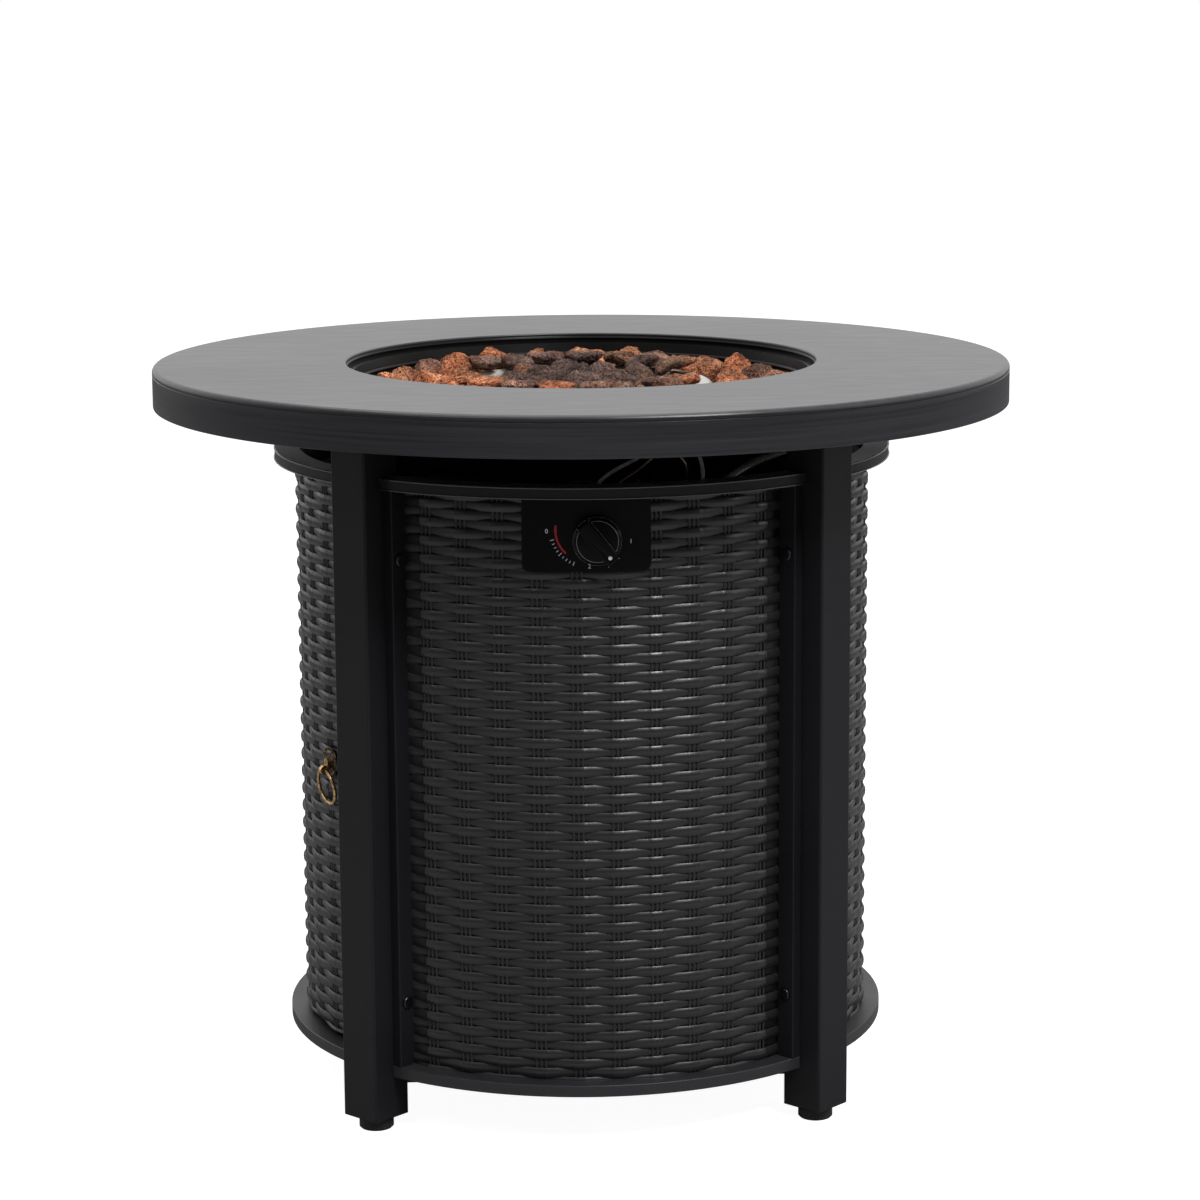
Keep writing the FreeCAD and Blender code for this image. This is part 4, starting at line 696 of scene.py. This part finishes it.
front_half = weave_radius * math.radians(38.7)
front_weave = woven_panel("front_weave", front_half, 0.059, 0.5627)
side_weaves = []
for name, azimuth, node in (
    ("right_weave", 90, "panel_right"), ("rear_weave", 180, "panel_rear"),
):
    side = copy_piece(front_weave, name)
    side.rotation_euler.z = math.radians(azimuth)
    settle(side)
    side_weaves.append((side, "base", node))
door_half = weave_radius * math.radians(37.87)
door_weave = woven_panel("door_weave", door_half, 0.0634, 0.5578)
door_weave.rotation_euler.z = math.radians(-90)
settle(door_weave)
side_weaves.append((door_weave, "door", "door_panel"))
side_weaves.append((front_weave, "base", "panel_front"))
bpy.data.objects.remove(strand)

# the front sheet is open behind the knob, where the valve comes through
knob_level = 0.527
valve_gap = 0.014


def behind_knob(face):
    """Whether a face lies where the valve comes through."""
    middle = face.calc_center_median()
    return abs(middle.x) < valve_gap and abs(middle.z - knob_level) < valve_gap


take_up(front_weave)
bpy.ops.object.mode_set(mode="EDIT")
select_where(front_weave, "face", behind_knob)
bpy.ops.mesh.delete(type="FACE")
bpy.ops.object.mode_set(mode="OBJECT")


def reach_from_axis(material):
    """A point's distance from the table's upright axis."""
    nodes = material.node_tree.nodes
    flat = nodes.new("ShaderNodeVectorMath")
    flat.operation = "MULTIPLY"
    flat.inputs[1].default_value = (1, 1, 0)
    feed(material, nodes.new("ShaderNodeTexCoord").outputs["Object"], flat.inputs[0])
    reach = nodes.new("ShaderNodeVectorMath")
    reach.operation = "LENGTH"
    feed(material, flat.outputs[0], reach.inputs[0])
    return reach.outputs["Value"]


def weave_material():
    """Coat on the pressed weave: dull in the hollows and glossy on the crests, with painted shade that
    darkens the hollows.
    """
    material, shader = new_material("weave_coat")
    shader.inputs["Specular IOR Level"].default_value = 0.5
    crest = graded(
        material, reach_from_axis(material), 0.0, 1.0, weave_radius + 0.0006, weave_radius + 0.0042
    )
    hollow_shade_and_mottle = mixed(material, 0.25, crest, textured(material, "Noise", 9, 6))
    # the colour grows darker nearer the sheet: painted shade in the hollows, mixed with random mottling
    tint = ramped(material, hollow_shade_and_mottle, (0.1, (0.002, 0.002, 0.0022)), (0.85, (0.012, 0.012, 0.013)))
    gloss = graded(material, hollow_shade_and_mottle, 0.55, 0.24)
    grain = textured(material, "Noise", 1500)
    finish_surface(material, tint, gloss, grain, 0.12, 0.0003)
    return material


weave_coat = weave_material()
for side, body, node in side_weaves:
    fit_piece(side, body, "weave", weave_coat, node)


# Ring pull. A pressed rosette with a beaded rim, an eye and a loose ring, cast in brass,
# aged dark in the hollows and rubbed bright on the ring.
def aged_brass_material(name, bright, dark, cover):
    """Brass with a dark patina that lies in patches."""
    material, shader = new_material(name)
    shader.inputs["Metallic"].default_value = 1.0
    patina = textured(material, "Noise", 260, 6)
    tint = ramped(material, patina, (cover, dark), (cover + 0.22, bright))
    gloss = graded(material, patina, 0.42, 0.16)
    finish_surface(material, tint, gloss, patina, 0.3, 0.0002)
    return material


rubbed_brass = aged_brass_material("rubbed_brass", (0.7, 0.47, 0.22), (0.2, 0.12, 0.05), 0.34)
dark_brass = aged_brass_material("dark_brass", (0.2, 0.15, 0.09), (0.025, 0.018, 0.013), 0.45)
finish_nodes(rubbed_brass, "pull_ring", "pull_eye")
rosette_back = 0.2569
rosette_level = 0.309
clear_selection()
bpy.ops.mesh.primitive_circle_add(
    vertices=48, radius=0.0139, fill_type="NGON",
    location=(0, -rosette_back, rosette_level), rotation=(math.radians(90), 0, 0),
)
rosette = bpy.context.object
rosette.name = "pull_rosette"
bpy.ops.object.transform_apply()
open_mesh()
radius = 13.9
front = rosette_back
rosette_steps = (
    (13.9, 0.7), (13.3, 0.35), (11.7, 0.0), (11.2, -0.35), (10.3, -0.1), (9.4, 0.55),
    (8.2, 0.15), (7.4, -0.5), (6.6, -0.1), (6.0, 0.7), (5.0, 0.25), (4.3, 0.0), (4.2, 0.3),
)
for reach, rise in rosette_steps:
    bpy.ops.mesh.extrude_region_move(TRANSFORM_OT_translate={"value": (0, -rise / 1000, 0)})
    front += rise / 1000
    shrink = reach / radius
    bpy.ops.transform.resize(
        value=(shrink, 1, shrink), center_override=(0, -front, rosette_level)
    )
    radius = reach
close_mesh()
bead_count = 30
bead_circle = 0.0125
clear_selection()
bpy.ops.mesh.primitive_uv_sphere_add(
    segments=10, ring_count=6, radius=0.0008,
    location=(bead_circle, -rosette_back - 0.00105, rosette_level),
)
bead = bpy.context.object
settle(bead)
beads = [bead]
for k in range(1, bead_count):
    another = copy_piece(bead, "bead")
    turn = 2 * math.pi * k / bead_count
    another.location = (bead_circle * (math.cos(turn) - 1), 0, bead_circle * math.sin(turn))
    settle(another)
    beads.append(another)
join_into(rosette, beads)
bpy.ops.object.shade_smooth_by_angle(angle=math.radians(55))
rosette.rotation_euler.z = math.radians(-62.3)
settle(rosette)
fit_piece(rosette, "door", "pull", dark_brass, "pull_backplate")


# Dial plate. A curved steel plate in gloss black enamel, with its marks printed in white
# and red: numbers for the settings, ticks, and a red arc for the pressed start.
def enamel_material(name, colour, rough, level):
    """Gloss enamel with faint ripples and a few fine scratches."""
    material, shader = new_material(name)
    shader.inputs["Specular IOR Level"].default_value = level
    haze = textured(material, "Noise", 30, 7)
    tint = mixed(material, haze, shade_of(colour, 0.8), shade_of(colour, 1.3))
    gloss = graded(material, haze, rough - 0.06, rough + 0.1)
    finish_surface(material, tint, gloss, textured(material, "Noise", 220), 0.12, 0.0002)
    return material


def ink_material(name, colour):
    """Screen printed ink, slightly uneven."""
    material, shader = new_material(name)
    shader.inputs["Roughness"].default_value = 0.55
    shader.inputs["Specular IOR Level"].default_value = 0.3
    cover = textured(material, "Noise", 2500)
    tint = mixed(material, cover, shade_of(colour, 0.72), shade_of(colour, 1))
    feed(material, tint, shader.inputs["Base Color"])
    return material


plate_enamel = enamel_material("plate_enamel", (0.0028, 0.0028, 0.0032), 0.3, 0.09)
finish_nodes(plate_enamel, "control_plate")
dial_plane = -0.270
arc_x = -0.008
arc_level = 0.535
arc_reach = 0.0262
tick_reach = 0.0302
white_marks = []
for figure, x, z in (("0", -0.0415, 0.5325), ("1", 0.0283, 0.5235), ("2", -0.0063, 0.5030)):
    clear_selection()
    bpy.ops.object.text_add(location=(x, dial_plane, z), rotation=(math.radians(90), 0, 0))
    mark = bpy.context.object
    mark.data.body = figure
    mark.data.size = 0.0052
    mark.data.align_x = "CENTER"
    bpy.ops.object.convert(target="MESH")
    settle(mark)
    white_marks.append(mark)
for k in range(9):
    turn = math.radians(196 + 52 * k / 8)
    clear_selection()
    bpy.ops.mesh.primitive_plane_add(
        size=1,
        location=(
            arc_x + tick_reach * math.cos(turn), dial_plane, arc_level + tick_reach * math.sin(turn)
        ),
        rotation=(math.radians(90), 0, 0),
    )
    tick = bpy.context.object
    tick.scale = (0.0022 if k % 4 else 0.0034, 0.0005, 1)
    tick.rotation_euler = (math.radians(90), -turn, 0)
    settle(tick)
    white_marks.append(tick)
red_marks = []
clear_selection()
bpy.ops.mesh.primitive_circle_add(
    vertices=20, radius=0.0013, fill_type="NGON", location=(-0.0341, dial_plane, 0.5345),
    rotation=(math.radians(90), 0, 0),
)
red_marks.append(bpy.context.object)
settle(red_marks[0])
clear_selection()
first = math.radians(189)
bpy.ops.mesh.primitive_plane_add(
    size=1, location=(arc_x + arc_reach, dial_plane, arc_level), rotation=(math.radians(90), 0, 0)
)
arc = bpy.context.object
arc.scale = (0.0017, 0.0001, 1)
settle(arc)
bpy.ops.object.mode_set(mode="EDIT")
select_where(arc, "vert", lambda corner: corner.co.z < arc_level)
bpy.ops.mesh.delete(type="VERT")
bpy.ops.mesh.select_all(action="SELECT")
bpy.ops.transform.translate(value=(0, 0, -0.00005))
middle = (arc_x, dial_plane, arc_level)
bpy.ops.transform.rotate(value=-first, orient_axis="Y", center_override=middle)
bpy.ops.mesh.spin(steps=20, angle=math.radians(57), center=middle, axis=(0, 1, 0))
bpy.ops.object.mode_set(mode="OBJECT")
red_marks.append(arc)
white_ink = ink_material("white_ink", (0.8, 0.8, 0.78))
red_ink = ink_material("red_ink", (0.42, 0.015, 0.02))
for name, marks, ink in (
    ("dial_figures", white_marks, white_ink), ("start_arc", red_marks, red_ink),
):
    join_into(marks[0], marks[1:])
    print_on = marks[0]
    print_on.name = name
    open_mesh()
    bpy.ops.mesh.quads_convert_to_tris()
    close_mesh()
    lay = print_on.modifiers.new("lay", "SHRINKWRAP")
    lay.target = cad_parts["control_plate"]
    lay.wrap_method = "PROJECT"
    lay.use_project_y = True
    lay.use_positive_direction = True
    lay.use_negative_direction = False
    lay.offset = 0.00004
    body = print_on.modifiers.new("film", "SOLIDIFY")
    body.thickness = 0.00008
    body.offset = 1
    apply_all(print_on)
    fit_piece(print_on, "base", "plate", ink)


# Knob. Moulded gloss black, a round skirt with a raised grip bar, its edges rounded and
# given a lighter material as a painted highlight, and a white dot set in the end that points at the
# dial.
knob_black = enamel_material("knob_black", (0.003, 0.003, 0.0034), 0.22, 0.1)
knob_rubbed = enamel_material("knob_rubbed", (0.36, 0.36, 0.365), 0.3, 0.5)
knob = copy_piece(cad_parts["control_knob"], "dial_knob")
take_up(knob)
open_mesh()
bpy.ops.mesh.remove_doubles(threshold=0.000005)
bpy.ops.mesh.dissolve_limited(angle_limit=math.radians(1))
bpy.ops.object.mode_set(mode="OBJECT")
knob.data.materials.clear()
knob.data.materials.append(knob_black)
knob.data.materials.append(knob_rubbed)
edges = knob.modifiers.new("edges", "BEVEL")
edges.width = 0.0006
edges.segments = 2
edges.limit_method = "ANGLE"
edges.angle_limit = math.radians(35)
# the rounded edges take the lighter material: a painted highlight
edges.material = 1
apply_all(knob)
bpy.ops.object.shade_smooth_by_angle(angle=math.radians(30))
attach(knob, "knob")
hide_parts("control_knob")
pointer = math.radians(-51)
dot_reach = 0.0158
clear_selection()
bpy.ops.mesh.primitive_cylinder_add(
    vertices=24, radius=0.00155, depth=0.0006,
    location=(
        dot_reach * math.cos(pointer), -0.2782, knob_level + dot_reach * math.sin(pointer)
    ),
    rotation=(math.radians(90), 0, 0),
)
dot = bpy.context.object
dot.name = "pointer_dot"
settle(dot)
bpy.ops.object.mode_set(mode="EDIT")
select_where(dot, "face", lambda face: face.normal.y < -0.9)
bpy.ops.mesh.inset(thickness=0.0003)
bpy.ops.transform.translate(value=(0, -0.0001, 0))
bpy.ops.mesh.inset(thickness=0.0008)
bpy.ops.transform.translate(value=(0, 0.0005, 0))
bpy.ops.object.mode_set(mode="OBJECT")
bpy.ops.object.shade_smooth_by_angle(angle=math.radians(30))
fit_piece(dot, "knob", "knob", white_ink)


# Gas valve. A cast body on a zinc bracket, brass rotor, stem and fittings, and a spark
# unit in black plastic behind it.
casting = metal_material("cast_body", (0.45, 0.45, 0.46), 0.55, grain=900.0)
brass = metal_material("machined_brass", (0.72, 0.53, 0.25), 0.28, stain=80.0)
finish_nodes(casting, "valve_body")
finish_nodes(brass, "valve_rotor", "valve_stem", "valve_fittings", "jet_elbow", "mixer_locknuts")
spark_plastic = plastic_material("spark_plastic", (0.02, 0.02, 0.021), 0.4, 0.4)
finish_nodes(spark_plastic, "piezo_igniter")


# Fire bowl. Pressed steel in black heat-proof paint, with a stiffening bead rolled into
# its wall below the collar.
bowl_paint = coat_material("bowl_paint", (0.004, 0.0038, 0.0036), 0.34, 1200, 0.3, 0.12, 12.0)
finish_nodes(bowl_paint, "fire_bowl")
bead_level = 0.6285
wall_reach = 0.188 + 0.015 * (bead_level - 0.5662) / (0.6385 - 0.5662)
clear_selection()
bpy.ops.mesh.primitive_circle_add(
    vertices=12, radius=0.0021, location=(wall_reach, 0, bead_level),
    rotation=(math.radians(90), 0, 0),
)
bowl_bead = bpy.context.object
bowl_bead.name = "bowl_bead"
bpy.ops.object.transform_apply()
open_mesh()
spin_round(0, 2 * math.pi, 96, bead_level)
bpy.ops.mesh.select_all(action="SELECT")
bpy.ops.mesh.remove_doubles(threshold=0.00001)
close_mesh()
bpy.ops.object.shade_smooth()
fit_piece(bowl_bead, "base", "bowl", bowl_paint)


def draw_ring(name, vertices, section):
    """A ring drawn from a circle through a section's (reach, level) points, left open."""
    radius, level = section[0]
    clear_selection()
    bpy.ops.mesh.primitive_circle_add(vertices=vertices, radius=radius, location=(0, 0, level))
    ring = bpy.context.object
    ring.name = name
    bpy.ops.object.transform_apply()
    open_mesh()
    for reach, height in section[1:]:
        bpy.ops.mesh.extrude_region_move(TRANSFORM_OT_translate={"value": (0, 0, height - level)})
        shrink = reach / radius
        bpy.ops.transform.resize(value=(shrink, shrink, 1), center_override=(0, 0, height))
        radius, level = reach, height
    return ring


# a thin liner inside the collar, with one rolled bead
mouth_liner = draw_ring(
    "mouth_liner", 144,
    (
        (0.2096, 0.6388), (0.2096, 0.6414), (0.2091, 0.64175), (0.2088, 0.6423),
        (0.2088, 0.6427), (0.2091, 0.64325), (0.2096, 0.6436), (0.2096, 0.6455),
    ),
)
close_mesh(inside=True)
sheet = mouth_liner.modifiers.new("sheet", "SOLIDIFY")
sheet.thickness = 0.0003
sheet.offset = -1
apply_all(mouth_liner)
bpy.ops.object.shade_smooth_by_angle(angle=math.radians(60))
fit_piece(mouth_liner, "base", "bowl", bowl_paint)
silicone = plastic_material("grommet_silicone", (0.015, 0.015, 0.015), 0.7, 0.2)
finish_nodes(silicone, "floor_grommets")


# Burner. A stainless ring tube on three stands, with its cross tube, the pilot bracket,
# the sensor and the spark electrode in its white ceramic.
burner_steel = metal_material(
    "burner_steel", (0.52, 0.49, 0.45), 0.34, stain=35.0, stain_depth=0.25
)
finish_nodes(
    burner_steel, "burner_ring", "burner_crossbar", "burner_stands", "mixer_tube",
    "pilot_bracket", "electrode_tip", "thermocouple",
)
ceramic = plastic_material("electrode_ceramic", (0.66, 0.64, 0.6), 0.6, 0.4)
finish_nodes(ceramic, "spark_electrode")


# Lava rocks. Tumbled volcanic stones, rust red, brown and dark, full of small round
# holes, heaped loosely over the burner. Most of those near its middle are dark.
def lava_material(name, deep, body, bright):
    """Porous stone: holes of two sizes with painted shade in them, uneven rust, and soot over the
    burner.
    """
    material, shader = new_material(name)
    shader.inputs["Specular IOR Level"].default_value = 0.25
    nodes = material.node_tree.nodes
    warp = nodes.new("ShaderNodeTexNoise")
    warp.inputs["Scale"].default_value = 120
    warp.inputs["Detail"].default_value = 3
    place = nodes.new("ShaderNodeTexCoord").outputs["Object"]
    feed(material, place, warp.inputs["Vector"])
    warped = mixed(material, 0.012, place, warp.outputs["Color"])
    depth = nodes.new("ShaderNodeMath")
    depth.operation = "MULTIPLY"
    large_holes = textured(material, "Voronoi", 330, place=warped)
    small_holes = textured(material, "Voronoi", 800, place=warped)
    feed(material, graded(material, large_holes, 0.0, 1.0, 0.12, 0.5), depth.inputs[0])
    feed(material, graded(material, small_holes, 0.0, 1.0, 0.1, 0.45), depth.inputs[1])
    rust = textured(material, "Noise", 42, 8)
    rust.node.inputs["Roughness"].default_value = 0.65
    shades = ramped(material, rust, (0.33, deep), (0.5, body), (0.7, bright))
    sooty = graded(material, reach_from_axis(material), 0.0, 1.0, 0.125, 0.1)
    burnt = mixed(material, sooty, shades, (0.44, 0.56, 0.68, 1), "MULTIPLY")
    # the colour darkens inside the holes: painted shade in the pores
    pore_shaded = mixed(material, 0.8, burnt, depth.outputs[0], "MULTIPLY")
    finish_surface(material, pore_shaded, 0.92, depth.outputs[0], 1.0, 0.0016)
    return material


# the stones' own rust, brown and dark colours, set brighter and redder to stand for the glow of the
# fire on them: partly painted light
stone_finish = {
    "rust": lava_material(
        "rust_stone", (0.1, 0.03, 0.015), (0.4, 0.13, 0.055), (0.7, 0.3, 0.15)
    ),
    "brown": lava_material(
        "brown_stone", (0.08, 0.028, 0.015), (0.3, 0.115, 0.055), (0.58, 0.27, 0.15)
    ),
    "dark": lava_material(
        "dark_stone", (0.05, 0.022, 0.014), (0.22, 0.1, 0.065), (0.46, 0.24, 0.16)
    ),
}
lumps = bpy.data.textures.new("stone_lumps", "CLOUDS")
lumps.noise_scale = 0.012
lumps.noise_depth = 3
pores = bpy.data.textures.new("stone_pores", "VORONOI")
pores.noise_scale = 0.0042
pores.distance_metric = "DISTANCE"
chance = random.Random(11)
for node, fineness in (("lava_rocks_upper", 3), ("lava_rocks_lower", 2)):
    take_up(copy_piece(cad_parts[node], "stone"))
    open_mesh()
    bpy.ops.mesh.remove_doubles(threshold=0.00002)
    bpy.ops.mesh.dissolve_limited(angle_limit=math.radians(2))
    bpy.ops.mesh.select_all(action="SELECT")
    bpy.ops.mesh.separate(type="LOOSE")
    bpy.ops.object.mode_set(mode="OBJECT")
    stones = sorted(bpy.context.selected_objects, key=lambda stone: stone.name)
    heaps = {"rust": [], "brown": [], "dark": []}
    for stone in stones:
        centre = sum((vertex.co for vertex in stone.data.vertices), Vector())
        centre /= len(stone.data.vertices)
        burnt = 0.6 if centre.xy.length < 0.12 else 0.15
        draw = chance.random()
        shade = "dark" if draw < burnt else "brown" if draw < (1 + burnt) / 2 else "rust"
        heaps[shade].append(stone)
    for colour, heap in heaps.items():
        first = heap[0]
        join_into(first, heap[1:])
        first.name = colour + "_" + node.replace("lava_rocks_", "") + "_stones"
        round_off = first.modifiers.new("round", "SUBSURF")
        round_off.levels = round_off.render_levels = fineness
        swell = first.modifiers.new("lumps", "DISPLACE")
        swell.texture = lumps
        swell.strength = 0.0065
        swell.mid_level = 0.42
        pit = first.modifiers.new("pores", "DISPLACE")
        pit.texture = pores
        pit.strength = 0.0022
        pit.mid_level = 0.75
        apply_all(first)
        bpy.ops.object.shade_smooth()
        fit_piece(first, "base", "rock", stone_finish[colour], node)


# Tabletop. A pressed steel ring with a turned-down rim and a fine groove under its edge,
# in a dark grey coat with a brushed figure that runs across the top and round the rim.
seam_level = 0.6416


def streaked(material, stretch):
    """Brushed streaks, drawn out by a scale along each axis."""
    nodes = material.node_tree.nodes
    lie = nodes.new("ShaderNodeMapping")
    lie.inputs["Scale"].default_value = stretch
    feed(material, nodes.new("ShaderNodeTexCoord").outputs["Object"], lie.inputs["Vector"])
    return textured(material, "Noise", 1.0, 5, lie.outputs[0])


def brushed_coat_material(name):
    """Dark coat with a brushed figure: streaks along X on top and round the rim, with painted shade
    that darkens the rim and the groove under the edge.
    """
    material, shader = new_material(name)
    shader.inputs["Specular IOR Level"].default_value = 0.42
    upward = facing_up(material)
    streaks = mixed(
        material, upward, streaked(material, (5, 5, 420)), streaked(material, (24, 200, 200))
    )
    figure = mixed(material, 0.35, streaks, textured(material, "Noise", 5, 6))
    tint = ramped(material, figure, (0.3, (0.006, 0.006, 0.007)), (0.72, (0.045, 0.045, 0.05)))
    # what faces sideways is darkened: painted shade on the rim
    on_rim = graded(material, upward, 1.0, 0.0)
    rim_painted_shade = mixed(material, on_rim, tint, (0.42, 0.42, 0.48, 1), "MULTIPLY")
    nodes = material.node_tree.nodes
    height = nodes.new("ShaderNodeSeparateXYZ")
    feed(material, nodes.new("ShaderNodeTexCoord").outputs["Object"], height.inputs[0])
    off_seam = nodes.new("ShaderNodeMath")
    off_seam.operation = "SUBTRACT"
    off_seam.inputs[1].default_value = seam_level
    feed(material, height.outputs["Z"], off_seam.inputs[0])
    gap = nodes.new("ShaderNodeMath")
    gap.operation = "ABSOLUTE"
    feed(material, off_seam.outputs[0], gap.inputs[0])
    # a thin dark band at the groove's level: painted shade in the groove under the edge
    groove_painted_shade = graded(material, gap.outputs[0], 0.1, 1.0, 0.0006, 0.0011)
    groove_shaded_tint = mixed(material, 1.0, rim_painted_shade, groove_painted_shade, "MULTIPLY")
    gloss = graded(material, figure, 0.3, 0.42, 0.3, 0.7)
    finish_surface(material, groove_shaded_tint, gloss, streaks, 0.35, 0.0003)
    return material


top_coat = brushed_coat_material("brushed_top_coat")


def quarter_round(reach, level, radius, first, steps):
    """Points of a quarter turn in the section, from a first angle in degrees."""
    turns = [math.radians(first + 90 * k / steps) for k in range(steps + 1)]
    return [(reach + radius * math.cos(t), level + radius * math.sin(t)) for t in turns]


rim_section = [
    (0.369, 0.612), (0.3802, 0.612), (0.3808, 0.6123), (0.381, 0.6129),
    (0.381, 0.6407), (0.3804, 0.6412), (0.381, 0.6424), (0.381, 0.6428),
    *quarter_round(0.377, 0.643, 0.004, 0, 9), (0.3764, 0.647),
    (0.212, 0.647), *quarter_round(0.21135, 0.64565, 0.00135, 90, 4), (0.21, 0.6452),
    (0.21, 0.6385), (0.2115, 0.6385), (0.2115, 0.6455), (0.3764, 0.6455),
    *reversed(quarter_round(0.377, 0.643, 0.0025, 0, 4)), (0.3795, 0.6424),
    (0.3795, 0.6135), (0.369, 0.6135), (0.369, 0.612),
]
tabletop = draw_ring("brushed_tabletop", 240, rim_section)
bpy.ops.mesh.select_all(action="SELECT")
bpy.ops.mesh.remove_doubles(threshold=0.00001)
close_mesh()
studs = []
leg_circle = 0.2715
stud_spread = 0.032
for azimuth in (-45, 45, 135, -135):
    for across in (-stud_spread, stud_spread):
        clear_selection()
        bpy.ops.mesh.primitive_cylinder_add(
            vertices=20, radius=0.003, depth=0.014, location=(across, -leg_circle, 0.6385)
        )
        stud = bpy.context.object
        bpy.ops.object.mode_set(mode="EDIT")
        select_where(stud, "face", lambda face: face.normal.z < -0.9)
        bpy.ops.mesh.bevel(offset=0.0006, segments=1, affect="EDGES")
        bpy.ops.object.mode_set(mode="OBJECT")
        settle(stud)
        stud.rotation_euler.z = math.radians(azimuth)
        settle(stud)
        studs.append(stud)
join_into(tabletop, studs)
bpy.ops.object.shade_smooth_by_angle(angle=math.radians(35))
fit_piece(tabletop, "base", "coat", top_coat, "tabletop")
